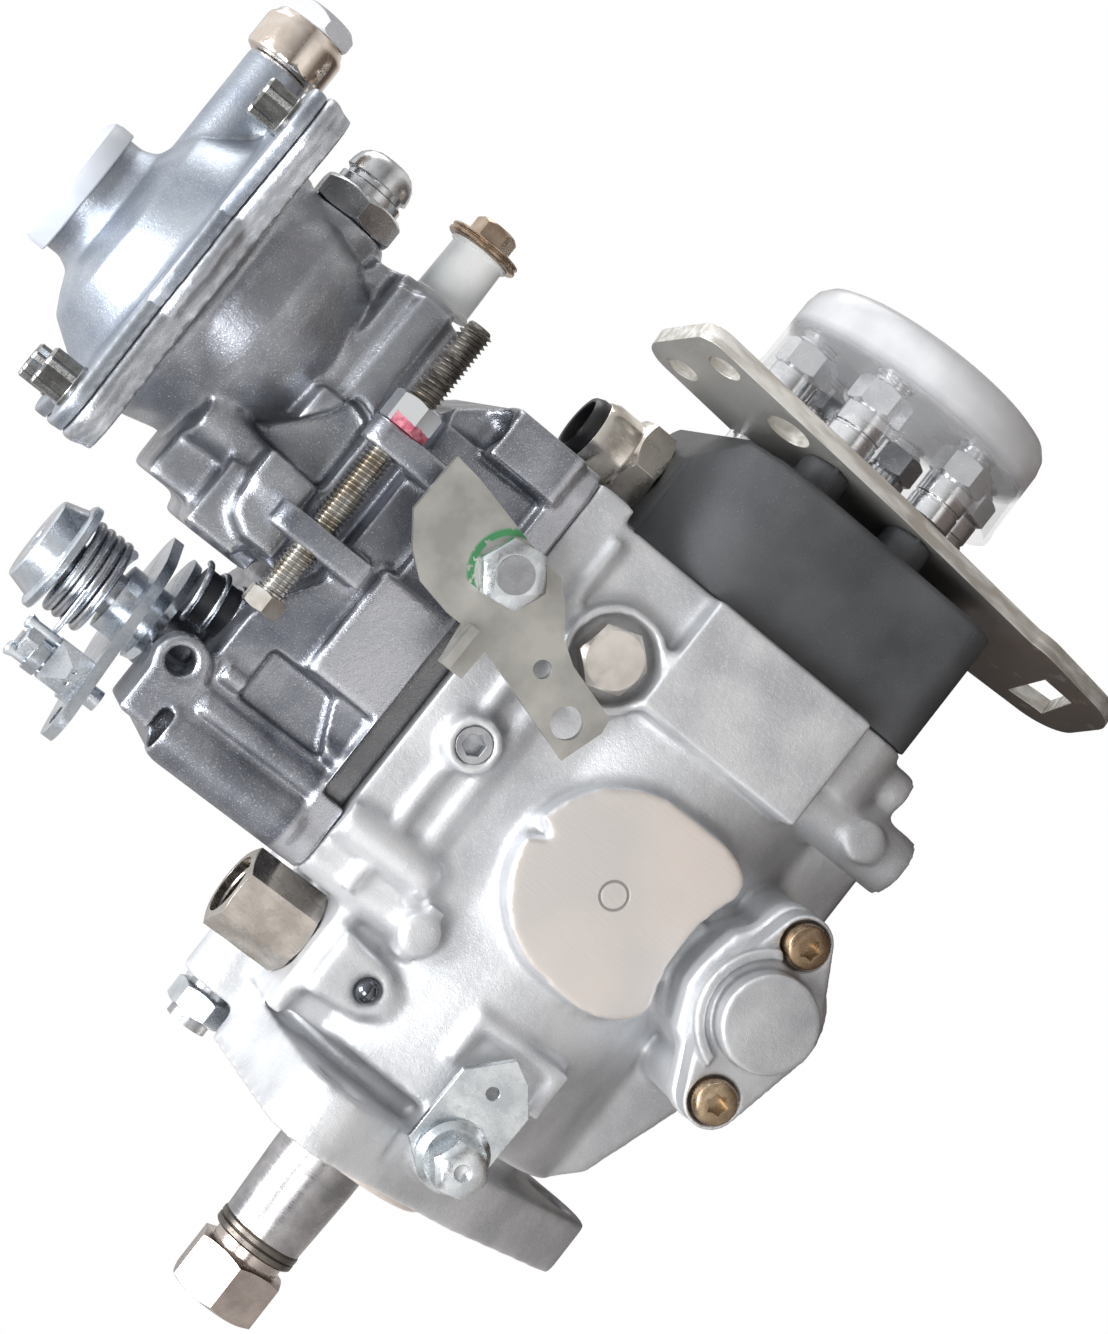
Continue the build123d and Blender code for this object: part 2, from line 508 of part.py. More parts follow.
throttle = rod_z(72, 131, THROTTLE_R, THROTTLE_X, 0) + rod_z(76, 79, 9, THROTTLE_X, 0)
save(throttle, "throttle_shaft")
arm = web([(THROTTLE_X, 0, 15), (38, -21, 6), (74.5, 7, 6.5)])
speed_lever = extrude(Plane(origin=(0, 0, 109)) * arm, 2.5) + rod_z(106, 115, 8, THROTTLE_X, 0)
speed_lever += (rod_z(105.5, 125, 2.4, 44, -16) + rod_z(111, 113.5, 4.5, 44, -16)
                + rod_z(120, 123, 4, 44, -16))
speed_lever += block(41.5, 46.5, -17.5, -14.5, 111, 127)
speed_lever -= rod_z(100, 130, 2.2, 37, -22)
save(speed_lever - rod_z(100, 120, THROTTLE_R, THROTTLE_X, 0), "speed_lever")
cap = turned_z([(THROTTLE_R, 127.5), (13.2, 127.5), (13.2, 129.6), (11.2, 130.2), (9.7, 135.5),
                (3, 135.5), (3, 131), (THROTTLE_R, 131)], THROTTLE_X, 0)
save(cap, "speed_lever_cap")
coil_path = Helix(pitch=3.3, height=9.2, radius=10.3, center=(THROTTLE_X, 0, 116.6))
coils = sweep(Plane(origin=coil_path @ 0, z_dir=coil_path % 0) * RegularPolygon(1.3, 6), path=coil_path)
save(coils, "speed_lever_spring")

# Stop lever

stop_shaft = (rod_y(-57, -22, 4, STOP_X, STOP_Z)
              + block(STOP_X - 3, STOP_X + 3, -28, -23, STOP_Z - 2, STOP_Z + 14))
save(stop_shaft, "stop_shaft")
stop_points = [(96.5, 60.8), (108.5, 62), (108.8, 74), (112, 83), (129.3, 83.5), (128.6, 73), (124.6, 60),
               (123.4, 52), (119.5, 47.5), (114.3, 43.8), (111, 38.5), (107.2, 25.4), (103.9, 24.8),
               (94.3, 28), (102.2, 55), (96.5, 55.4)]
stop_lever = slab_y(stop_points, -51.5, -49.2)
stop_lever += block(96.5, 104, -57, -49.2, 59.2, 61)
stop_lever -= rod_y(-60, -40, 4, STOP_X, STOP_Z)
stop_lever -= rod_y(-60, -40, 2, 106.5, 43.2) + rod_y(-60, -40, 3.6, 101, 32)
save(stop_lever, "stop_lever")
save(hex_y(-56.5, -51.5, 13, STOP_X, STOP_Z, 8) - rod_y(-60, -40, 4, STOP_X, STOP_Z), "stop_lever_nut")

# Boost compensator

corners = [(LDA_X + i * LDA_EAR, j * LDA_EAR) for i in (-1, 1) for j in (-1, 1)]
FOOT_X = LDA_X - 38.5
VENT_X = LDA_X + 30
UNION_X = LDA_X + 46.4
SLEEVE_END = LDA_X + 42.6


def lobed(start, height, round_r, ear_r):
    shape = rod_z(start, start + height, round_r, LDA_X, 0)
    for x, y in corners:
        shape += extrude(Plane(origin=(0, 0, start)) * web([(x, y, ear_r), (LDA_X, 0, 34)]), height)
    return shape


lda = lobed(141, LDA_JOINT - 141, 38.5, 7.9) + lobed(144.5, LDA_JOINT - 144.5, 40, 8.9)
lda += turned_z([(0, 104), (14, 104), (20, 108), (26, 117), (29, 126), (32, 137), (33, 142), (0, 142)],
                LDA_X, 0)
lda += block(FOOT_X, LDA_X + 25, -26, 26, LDA_BASE_Z, 112)
lda += (block(FOOT_X - 4, FOOT_X + 1.5, -22, 22, LDA_BASE_Z + 4, 116)
        + block(FOOT_X, LDA_X - 23, -20, 20, 110, 128))
lda += block(LDA_X - 26, LDA_X + 26, -28, 20, 99, 107) + block(LDA_X - 27, LDA_X - 2, -32, -20, 99, 112)
lda += block(LDA_X + 13, LDA_X + 28, -22, 10, 97, 112) + rod_x(LDA_X + 3, VENT_X, 10.5, -4, 126)
lda -= turned_z([(0, 116), (18, 116), (25, 126), (28, 137), (30, 148), (0, 148)], LDA_X, 0)
lda -= rod_z(LDA_BASE_Z - 1, 120, 6 + RUNNING, LDA_X, 0) + rod_x(LDA_X + 13, LDA_X + 33, 4, -10, 100.3)
lda -= rod_x(VENT_X - 7, VENT_X + 1, 5, -4, 126) + rod_x(VENT_X, VENT_X + 8, 11.3, -4, 126)
lda_top = lobed(LDA_JOINT, 3.4, 39.5, 8.5)
lda_top += turned_z([(0, LDA_JOINT + 3), (33, LDA_JOINT + 3), (30.5, 152.6), (24.5, 161.2), (20, 163.6),
                     (15.6, 165.5), (14.2, 168.5),
                     (14.2, 173), (0, 173)], LDA_X, 0)
lda_top += rod_x(LDA_X + 12, UNION_X, 7.3, 0, 157) + rod_z(150, 157, 7.3, LDA_X + 34, 0)
lda_top -= turned_z([(0, LDA_JOINT - 1), (28, LDA_JOINT - 1), (27.5, 151), (22, 158.5), (11.5, 161),
                     (11.5, 171), (0, 171)], LDA_X, 0)
lda_top -= rod_x(LDA_X + 15, UNION_X + 1, 4.5, 0, 157)
lda_screws = []
for x, y in corners:
    lda -= rod_z(140, LDA_JOINT + 1, 2.6, x, y)
    lda_top -= rod_z(LDA_JOINT - 1, 156, 2.6, x, y)
    lda_screws.append(rod_z(141.5, 151.1, 2.6, x, y) + rod_z(151.1, 158.6, 4.8, x, y)
                      - extrude(Plane(origin=(x, y, 155.5)) * hexagon(4.4), 4))
save(lda, "compensator_housing")
save(lda_top, "compensator_cover")
save(Compound(children=lda_screws), "compensator_screws")
cap = turned_z([(0, 173), (14.2, 173), (14.2, 171.8), (15.4, 171.8), (15.4, 176.6), (14.6, 178),
                (0, 178)], LDA_X, 0)
save(cap, "compensator_cap")
pin = rod_z(100, 147, 6, LDA_X, 0) + rod_z(144, 147, 23, LDA_X, 0) - rod_z(143, 148, 2, LDA_X, 30)
save(pin, "compensator_plunger")
union = turned_x([(UNION_X, 4.5), (UNION_X, 8), (UNION_X + 2.1, 9.6), (UNION_X + 7.6, 9.6),
                  (UNION_X + 10.6, 8.2),
                  (UNION_X + 10.6, 4.5)], 0, 156.6)
save(union, "boost_union")
union_plug = (hex_x(UNION_X + 10.6, UNION_X + 15.1, 15.5, 0, 156.6, 8)
              + rod_x(UNION_X, UNION_X + 10.6, 4.5, 0, 156.6))
save(union_plug, "boost_union_plug")
vent = hex_x(VENT_X, VENT_X + 6.4, 19, -4, 126) + rod_x(VENT_X - 7, VENT_X, 5, -4, 126)
vent += turned_x([(VENT_X + 6, 0), (VENT_X + 6, 7.8), (VENT_X + 8.6, 7.8), (VENT_X + 8.6, 6.8),
                  (VENT_X + 10, 6.8),
                  (VENT_X + 10, 7.8), (VENT_X + 14, 7), (VENT_X + 16, 5), (VENT_X + 16, 0)], -4, 126)
save(vent, "vent_fitting")
sleeve = rod_x(LDA_X + 28, SLEEVE_END, 7.1, -10, 100.3) - rod_x(LDA_X + 27, SLEEVE_END + 1.4, 4, -10, 100.3)
save(sleeve, "full_load_sleeve")
full_load = (rod_x(LDA_X + 14, SLEEVE_END, 4, -10, 100.3)
             + rod_x(SLEEVE_END, SLEEVE_END + 2.2, 8.7, -10, 100.3))
full_load += hex_x(SLEEVE_END + 2.2, SLEEVE_END + 6.8, 9, -10, 100.3, 20)
save(full_load, "full_load_screw")

# Distributor head and rear

plate_plane = Plane(origin=(PLATE_X, 0, 0), x_dir=(-math.sin(PLATE_TURN), math.cos(PLATE_TURN), 0),
                    z_dir=(math.cos(PLATE_TURN), math.sin(PLATE_TURN), 0))
valves_at = [polar(VALVE_PCD_R, angle) for angle in VALVE_ANGLES]
head = extrude(along_x(HEAD_X) * head_outline, HEAD_END - HEAD_X)
head = chamfer(head.faces().sort_by(Axis.X)[-1].edges(), 1)
head += rod_x(HEAD_X - 7, HEAD_X, CAVITY_R - 0.02) + rod_x(120, HEAD_X, 14)
head += block(HEAD_X, PORT_X + 8, -18, 18, HEAD_TOP - 4, HEAD_TOP)
head -= slab_y([(PORT_X + 7, HEAD_TOP + 0.3), (HEAD_END + 1, VALVE_PCD_R + VALVE_R),
                (HEAD_END + 1, HEAD_TOP + 5),
                (PORT_X + 7, HEAD_TOP + 5)], -HEAD_HALF, HEAD_HALF)
spacers = []
for y, z in valves_at:
    head -= rod_x(166, HEAD_END + 1, VALVE_THREAD_R, y, z)
    if y < VALVE_PCD_R / 2 and z < VALVE_PCD_R * 0.9:
        spacers.append(rod_x(HEAD_END, PLATE_X + 8, VALVE_R, y, z)
                       - rod_x(HEAD_END - 1, PLATE_X + 9, VALVE_THREAD_R, y, z))
behind = extrude(plate_plane * Rectangle(200, 200), 40)
for spacer in spacers:
    head += spacer - behind
for y, z in head_bolts_at:
    head -= rod_x(HEAD_X - 1, HEAD_END + 1, 3, y, z) + rod_x(HEAD_END - 5.2, HEAD_END + 1, 4.6, y, z)
head -= rod_x(110, PLUNGER_END + 3, PLUNGER_R + RUNNING) + rod_z(26, HEAD_TOP + 2, 7, PORT_X, 0)
save(head, "distributor_head")

upper = web([(-31.5, 51.5, 5), (-12.2, 50.2, 8.3), (-22.3, -5, 8), (-6, -5, 10)])
middle = web([(-22.3, -5, 8), (0, -25, 12), (-7.1, -70, 13), (0, -70, 12)])
tongue = web([(-12, -54, 12), (9.6, -56, 12), (-7.1, -70, 13), (7.1, -73, 11.5)])
plate = extrude(plate_plane * (upper + middle + tongue), PLATE_T)
window = Polygon((11.7, -67.2), (8.9, -76.6), (-10.5, -72.4), (-10.7, -63.6), align=None)
plate -= extrude(plate_plane * Pos(0, 0, -1) * window, PLATE_T + 2)
for w, z, radius in ((-10.9, 49.5, 3.9), (-28.7, 46.5, 3.9), (-24.6, 25.6, 5.4)):
    plate -= extrude(plate_plane * Pos(w, z, -1) * Circle(radius), PLATE_T + 2)
for y, z in valves_at:
    plate -= rod_x(PLATE_X - 20, PLATE_X + 20, VALVE_THREAD_R + 0.4, y, z)
save(plate, "support_plate")
bolts = []
for y, z in head_bolts_at:
    bolt = rod_x(HEAD_X - 12, HEAD_END - 5, 3, y, z) + rod_x(HEAD_END - 5.2, HEAD_END - 0.4, 4.4, y, z)
    bolts.append(bolt - extrude(along_x(HEAD_END - 3.6, y, z) * hexagon(5), 4))
save(Compound(children=bolts), "head_bolts")
holders, valves = [], []
BODY_X = PLATE_X + 9.2
for y, z in valves_at:
    holder = rod_x(168, BODY_X, VALVE_THREAD_R, y, z) + rod_x(BODY_X, 197, VALVE_R, y, z)
    holder += hex_x(196.5, 203.6, VALVE_R * 2, y, z) + rod_x(203.6, VALVE_END, 5, y, z)
    holders.append(holder - rod_x(167, 198, 2.6, y, z) - rod_x(197, VALVE_END + 1, 1.8, y, z))
    valves.append(rod_x(176, 190, 2.55, y, z))
save(Compound(children=holders), "valve_holders")
save(Compound(children=valves), "delivery_valves")
outlet = turned_x([(CAP_X0, CAP_R - CAP_WALL), (CAP_X0, CAP_R), (CAP_END - 4, CAP_R),
                   (CAP_END, CAP_R - 4), (CAP_END, 0),
                   (CAP_END - CAP_WALL, 0), (CAP_END - CAP_WALL, CAP_R - 5),
                   (CAP_END - 5, CAP_R - CAP_WALL)])
outlet += rod_x(VALVE_END - 1.5, VALVE_END, CAP_R - 0.5)
for y, z in valves_at:
    outlet -= rod_x(VALVE_END - 3, VALVE_END + 1, 5, y, z)
save(outlet, "outlet_cap")
adapter = (hex_z(HEAD_TOP, HEAD_TOP + 8, 21, PORT_X, 0, 30)
           + hex_z(HEAD_TOP + 8, HEAD_TOP + 17, 17.5, PORT_X, 0, 30))
adapter += rod_z(28, HEAD_TOP, 7, PORT_X, 0)
adapter -= rod_z(27, HEAD_TOP + 18, 5, PORT_X, 0) + rod_z(HEAD_TOP + 9, HEAD_TOP + 18, 7.2, PORT_X, 0)
save(adapter, "port_adapter")
plug = (rod_z(HEAD_TOP + 9, HEAD_TOP + 20.2, 7.2, PORT_X, 0)
        - rod_z(HEAD_TOP + 11, HEAD_TOP + 21, 6, PORT_X, 0))
save(plug, "port_plug")
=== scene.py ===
import math

import bpy
from mathutils import Matrix, Vector


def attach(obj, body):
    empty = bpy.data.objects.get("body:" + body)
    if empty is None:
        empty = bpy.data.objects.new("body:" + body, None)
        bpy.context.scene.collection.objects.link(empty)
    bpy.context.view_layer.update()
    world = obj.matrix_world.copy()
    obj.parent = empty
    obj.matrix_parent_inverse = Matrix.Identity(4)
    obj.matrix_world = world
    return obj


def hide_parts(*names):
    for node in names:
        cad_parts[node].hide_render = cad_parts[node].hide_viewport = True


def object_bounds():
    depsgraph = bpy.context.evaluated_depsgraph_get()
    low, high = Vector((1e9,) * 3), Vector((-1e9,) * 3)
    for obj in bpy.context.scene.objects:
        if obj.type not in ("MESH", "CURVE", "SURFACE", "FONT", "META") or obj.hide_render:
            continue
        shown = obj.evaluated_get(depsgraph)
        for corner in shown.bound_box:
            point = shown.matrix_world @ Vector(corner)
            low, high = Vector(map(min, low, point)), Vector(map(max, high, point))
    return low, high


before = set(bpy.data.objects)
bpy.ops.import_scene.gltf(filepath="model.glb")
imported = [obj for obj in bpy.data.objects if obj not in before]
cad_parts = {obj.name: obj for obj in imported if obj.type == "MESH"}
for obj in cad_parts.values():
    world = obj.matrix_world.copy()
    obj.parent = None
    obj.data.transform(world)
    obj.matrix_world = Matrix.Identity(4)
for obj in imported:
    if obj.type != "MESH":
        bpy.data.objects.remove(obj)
cad_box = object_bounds()
bpy.ops.object.select_all(action="DESELECT")

# Pump housing: a die-cast aluminium body with the mounting flange, the barrel and the pads in one casting.
# It is shot-blasted grey with soft corners. Its mounting face and the large pad on its side are machined.

MM = 0.001


def tint(red, green, blue):
    """A colour as the eye reads it, 0 to 255, turned into the shader's linear light."""
    parts = [value / 255 for value in (red, green, blue)]
    return tuple(p / 12.92 if p <= 0.04045 else ((p + 0.055) / 1.055) ** 2.4 for p in parts) + (1.0,)


class Field:
    """A socket inside a material. Arithmetic on it adds Math nodes, and node() adds any other node."""

    def __init__(self, tree, socket):
        self.tree = tree
        self.socket = socket

    def node(self, kind, settings, values, output=0):
        made = self.tree.nodes.new(kind)
        for key, setting in settings.items():
            setattr(made, key, setting)
        for key, value in values.items():
            if isinstance(value, Field):
                self.tree.links.new(value.socket, made.inputs[key])
            else:
                made.inputs[key].default_value = value
        return Field(self.tree, made.outputs[output])

    def math(self, operation, first, second=0.0):
        return self.node("ShaderNodeMath", {"operation": operation}, {0: first, 1: second})

    def __add__(self, other):
        return self.math("ADD", self, other)

    def __sub__(self, other):
        return self.math("SUBTRACT", self, other)

    def __rsub__(self, other):
        return self.math("SUBTRACT", other, self)

    def __mul__(self, other):
        return self.math("MULTIPLY", self, other)

    def __lt__(self, other):
        return self.math("LESS_THAN", self, other)

    def __gt__(self, other):
        return self.math("GREATER_THAN", self, other)

    def between(self, low_mm, high_mm):
        return (self > low_mm * MM) * (self < high_mm * MM)

    def size(self):
        return self.math("ABSOLUTE", self)

    def larger(self, other):
        return self.math("MAXIMUM", self, other)

    def part(self, axis):
        """One axis of a place or direction: 0 for X, 1 for Y, 2 for Z."""
        return self.node("ShaderNodeSeparateXYZ", {}, {0: self}, axis)

    def far_from(self, point, flatten):
        """Distance of the place from a point in millimetres. Zeros in flatten leave their axes out."""
        centre = tuple(value * MM for value in point)
        offset = self.node("ShaderNodeVectorMath", {"operation": "SUBTRACT"}, {0: self, 1: centre})
        kept = self.node("ShaderNodeVectorMath", {"operation": "MULTIPLY"}, {0: offset, 1: flatten})
        return self.node("ShaderNodeVectorMath", {"operation": "LENGTH"}, {0: kept}, "Value")

    def noise(self, size_mm, detail, stretch=(1, 1, 1)):
        """Cloudy noise whose patches are about size_mm across."""
        place = self.node("ShaderNodeVectorMath", {"operation": "MULTIPLY"}, {0: self, 1: stretch})
        return self.node("ShaderNodeTexNoise", {},
                         {"Vector": place, "Scale": 1 / (size_mm * MM), "Detail": detail})

    def clouds(self, size_mm, detail):
        """Slow noise that runs from 0 to 1 between its dark and its light patches."""
        return self.noise(size_mm, detail).spread(0.35, 0.65)

    def spread(self, low, high, start=0.0, end=1.0):
        """The value between low and high, stretched to run from start to end."""
        return self.node("ShaderNodeMapRange", {"clamp": True},
                         {"Value": self, "From Min": low, "From Max": high, "To Min": start, "To Max": end})

    def mix(self, first, second):
        """A colour from first to second as this value goes from 0 to 1. The node's colour inputs are 6 and 7,
        and its colour output is 2."""
        return self.node("ShaderNodeMix", {"data_type": "RGBA", "clamp_factor": True},
                         {0: self, 6: first, 7: second}, 2)

    def bump(self, depth_mm):
        return self.node("ShaderNodeBump", {}, {"Height": self, "Distance": depth_mm * MM, "Strength": 1.0})


def blank_finish(name):
    """A material with only its shader, and the place on the piece that its pattern reads."""
    material = bpy.data.materials.new(name)
    material.use_nodes = True
    tree = material.node_tree
    place = tree.nodes.new("ShaderNodeTexCoord").outputs["Object"]
    return material, Field(tree, place)


def shade(material, **sockets):
    """Sets or links the shader's sockets, named as Blender names them, with _ for a space."""
    shader = material.node_tree.nodes["Principled BSDF"]
    for name, value in sockets.items():
        socket = shader.inputs[name.replace("_", " ")]
        if isinstance(value, Field):
            material.node_tree.links.new(value.socket, socket)
        else:
            socket.default_value = value
    return material


def cast_finish(name, light, dark, rough, grain=0.35):
    """Blasted casting skin: a fine bright grain over slow grey clouds, with painted shade in its hollows and
    a painted highlight on its ridges.
    It gives the material, the place, and the colour, roughness and relief that the casting may change."""
    material, place = blank_finish(name)
    clouds = place.clouds(16, 3)
    skin = place.noise(grain, 2)
    sparkle = skin.spread(0.56, 0.72)
    curve = place.node("ShaderNodeNewGeometry", {}, {}, "Pointiness")
    painted_hollow_shade = curve.spread(0.43, 0.495, 1, 0)
    painted_edge_highlight = curve.spread(0.515, 0.57)
    colour = (sparkle * 0.35).mix(clouds.mix(dark, light), (0.92, 0.93, 0.95, 1))
    # Painted shade darkens the hollows, and a painted highlight lightens the ridges and edges; both follow
    # the skin's curvature.
    colour = (painted_edge_highlight * 0.45).mix((painted_hollow_shade * 0.6).mix(colour, tint(84, 84, 86)), tint(236, 238, 240))
    roughness = clouds.spread(0, 1, rough + 0.06, rough - 0.05) - sparkle * 0.12
    relief = skin * 0.7 + place.noise(1.6, 2) * 0.8
    return material, place, colour, roughness, relief


def only(piece):
    """Selects one piece alone and makes it active."""
    bpy.ops.object.select_all(action="DESELECT")
    piece.select_set(True)
    bpy.context.view_layer.objects.active = piece


def apply_modifier(piece, kind, **settings):
    """Adds one modifier to a piece, sets it and applies it."""
    only(piece)
    bpy.ops.object.modifier_add(type=kind)
    modifier = piece.modifiers[-1]
    for key, value in settings.items():
        setattr(modifier, key, value)
    bpy.ops.object.modifier_apply(modifier=modifier.name)


def lifted(node, name):
    """A copy of a CAD node's mesh as a new piece, with its loose triangles merged."""
    piece = bpy.data.objects.new(name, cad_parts[node].data.copy())
    bpy.context.scene.collection.objects.link(piece)
    piece.data.materials.clear()
    only(piece)
    bpy.ops.object.mode_set(mode="EDIT")
    bpy.ops.mesh.select_all(action="SELECT")
    bpy.ops.mesh.remove_doubles(threshold=0.001 * MM)
    bpy.ops.mesh.dissolve_limited(angle_limit=math.radians(0.6))
    bpy.ops.object.mode_set(mode="OBJECT")
    return piece


def joined(first, *others):
    """Joins loose pieces into the first one, as they stand."""
    only(first)
    for other in others:
        other.select_set(True)
    bpy.ops.object.join()
    return first


def combine(piece, other, operation):
    """Joins, cuts or trims a piece by another one, which is then gone."""
    apply_modifier(piece, "BOOLEAN", object=other, operation=operation, solver="MANIFOLD")
    bpy.data.objects.remove(other)


def brick(low, high):
    """A plain block between two corners in millimetres, to be cast into a larger form or cut out of it."""
    middle = [(a + b) / 2 * MM for a, b in zip(low, high)]
    sides = [(b - a) * MM for a, b in zip(low, high)]
    bpy.ops.mesh.primitive_cube_add(size=1, location=middle, scale=sides)
    bpy.ops.object.transform_apply(location=True, rotation=True, scale=True)
    return bpy.context.object


def prism(outline, start, end):
    """An outline of (x, z) points in millimetres, drawn out along Y from start to end."""
    bpy.ops.object.select_all(action="DESELECT")
    bpy.ops.mesh.primitive_circle_add(vertices=len(outline), radius=MM, fill_type="NGON")
    piece = bpy.context.object
    for vertex, (x, z) in zip(piece.data.vertices, outline):
        vertex.co = Vector((x, start, z)) * MM
    bpy.ops.object.mode_set(mode="EDIT")
    bpy.ops.mesh.extrude_region_move(TRANSFORM_OT_translate={"value": (0, (end - start) * MM, 0)})
    bpy.ops.mesh.select_all(action="SELECT")
    bpy.ops.mesh.normals_make_consistent(inside=False)
    bpy.ops.object.mode_set(mode="OBJECT")
    return piece


def casting(node, name, grain_mm, rounds, keep, added=(), cut=(), soft_below=None):
    """The skin of a casting: the CAD form with its smaller bosses and pockets remeshed finely, its corners
    worn soft, more so below one height where it is given, then thinned."""
    piece = lifted(node, name)
    joined(piece, *added)
    apply_modifier(piece, "REMESH", mode="VOXEL", voxel_size=grain_mm * MM, adaptivity=0.0)
    for other in cut:
        combine(piece, other, "DIFFERENCE")
    if cut:
        apply_modifier(piece, "REMESH", mode="VOXEL", voxel_size=grain_mm * MM, adaptivity=0.0)
    if soft_below:
        low = piece.vertex_groups.new(name="low")
        low.add([v.index for v in piece.data.vertices if v.co.z < soft_below * MM], 1.0, "REPLACE")
        apply_modifier(piece, "SMOOTH", factor=0.5, iterations=rounds * 3, vertex_group="low")
    apply_modifier(piece, "SMOOTH", factor=0.5, iterations=rounds)
    apply_modifier(piece, "DECIMATE", ratio=keep)
    bpy.ops.object.shade_smooth()
    return piece


def fit(piece, node, body, finish):
    """Gives a piece its finish, and lets it stand for its CAD node on the node's body."""
    piece.data.materials.clear()
    piece.data.materials.append(finish)
    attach(piece, body)
    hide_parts(node)


PAD = (79, -46, -1)
PAD_REACH = 30.0
PAD_FOOT = -24.6
PAD_RING_R = 3.1
FACE_DEPTH = 0.25
IN_SIDE_VIEW = (1, 0, 1)
near_corner = [(55.8, -1), (55.3, -8), (56, -14), (58, -18.4), (60, -21), (62.2, -22.6), (65, -23.4),
               (72, -20)]
rear_corner = [(102.2, -1), (102.6, -6), (102.4, -12), (101.6, -17), (100.2, -20.6), (98.2, -22.8),
               (95, -23.6), (86, -20)]
pad_middle = (PAD[0], PAD[2])
pad_corners = [prism(outline + [pad_middle], PAD[1], -30) for outline in (near_corner, rear_corner)]

ARCH_X = 79.6
ARCH_Z = -54
ARCH_R = 34.1
arch = []
for turn in range(120, 56, -7):
    angle = math.radians(turn)
    arch.append((ARCH_X + ARCH_R * math.cos(angle), ARCH_Z + ARCH_R * math.sin(angle)))
arch_foot = [(97.5, -28.6), (82, -25.3), (78, -24.8), (74, -25), (71, -26.4), (60, -31.4)]
arch_hollow = prism(arch + arch_foot, -52, -38)
pump_housing = casting("pump_housing", "pump_housing_casting", 0.9, 4, 0.55, pad_corners, [arch_hollow])

housing_skin, place, colour, roughness, relief = cast_finish(
    "housing_skin", tint(214, 216, 219), tint(184, 186, 190), 0.5)
flat_of_pad = place.part(1) < (PAD[1] + FACE_DEPTH) * MM
from_pad = place.far_from(PAD, IN_SIDE_VIEW)
within_pad = (from_pad < PAD_REACH * MM) * (place.part(2) > PAD_FOOT * MM)
machined = (place.part(0) < FACE_DEPTH * MM) + flat_of_pad * within_pad
pad_tone = place.noise(30, 1).spread(0.4, 0.6).mix(tint(222, 214, 208), tint(208, 204, 201))
centre_ring = (from_pad - PAD_RING_R * MM).size()
ring_line = centre_ring.spread(0.15 * MM, 0.45 * MM, 1, 0) * flat_of_pad
milling = place.noise(0.5, 1, (1, 0.1, 0.12)) * machined
blasted_colour = ring_line.mix(colour, tint(160, 156, 153))
machined_colour = ring_line.mix(pad_tone, tint(150, 146, 143))
fit(pump_housing, "pump_housing", "housing", shade(
    housing_skin,
    Base_Color=machined.mix(blasted_colour, machined_colour),
    Roughness=(1 - machined) * roughness + machined * 0.44,
    Metallic=0.62,
    Normal=((1 - machined) * relief + milling * 0.3 - ring_line * 0.8).bump(0.11)))

# Plain CAD pieces that keep their shape: inner works and small parts that are seen through gaps only.
# They are steel, ground or hardened, and get their own finishes without a new mesh.


def metal_finish(name, light, dark, rough, grain=0.4, stretch=(1, 1, 1)):
    """Machined or plated metal: faint tool lines, slow changes of tone, and small dull smudges."""
    material, place = blank_finish(name)
    clouds = place.clouds(7, 3)
    lines = place.noise(grain, 2, stretch)
    smudge = place.noise(2.4, 4).spread(0.52, 0.7)
    return shade(
        material,
        Base_Color=(smudge * 0.3).mix(clouds.mix(dark, light), dark),
        Roughness=lines.spread(0.3, 0.7, rough - 0.06, rough + 0.06) + smudge * 0.12,
        Metallic=1.0,
        Normal=lines.bump(0.01))


def paint_node(node, finish):
    """Gives a CAD node that keeps its shape its own finish."""
    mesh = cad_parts[node].data
    mesh.materials.clear()
    mesh.materials.append(finish)


inner_steel = metal_finish("hardened_steel", tint(178, 180, 184), tint(146, 148, 152), 0.3)
for node in ("supply_pump_ring", "vane_rotor", "supply_vanes", "drive_gear", "cam_plate", "cam_rollers",
             "distributor_plunger", "governor_shaft", "governor_cage", "flyweight_1", "flyweight_2",
             "flyweight_3", "flyweight_4", "governor_sleeve", "governor_lever", "control_spool",
             "timing_piston", "roller_ring", "compensator_plunger", "delivery_valves", "stop_shaft",
             "throttle_shaft"):
    paint_node(node, inner_steel)

# Drive train end: a ground steel taper that carries the pump's gear, a dark washer and a plated nut.
# The nut and washer are turned and milled pieces with broken edges; the shaft keeps its CAD form.


def turned(name, stations, sides=48):
    """A turned solid about Z: a disc, extruded and resized to each (height, radius) in millimetres.
    Where the last station is the first one again, the profile is a closed ring."""
    bpy.ops.object.select_all(action="DESELECT")
    ring = stations[0] == stations[-1]
    height, radius = stations[0]
    bpy.ops.mesh.primitive_circle_add(vertices=sides, radius=radius * MM, location=(0, 0, height * MM),
                                      fill_type="NOTHING" if ring else "NGON")
    piece = bpy.context.object
    piece.name = name
    bpy.ops.object.mode_set(mode="EDIT")
    for next_height, next_radius in stations[1:]:
        step = (0, 0, (next_height - height) * MM)
        bpy.ops.mesh.extrude_region_move(TRANSFORM_OT_translate={"value": step})
        grow = next_radius / radius
        bpy.ops.transform.resize(value=(grow, grow, 1), center_override=(0, 0, 0))
        height, radius = next_height, next_radius
    bpy.ops.mesh.select_all(action="SELECT")
    bpy.ops.mesh.remove_doubles(threshold=0.0005 * MM)
    bpy.ops.mesh.normals_make_consistent(inside=False)
    bpy.ops.object.mode_set(mode="OBJECT")
    bpy.ops.object.transform_apply(location=True, rotation=True, scale=True)
    return piece


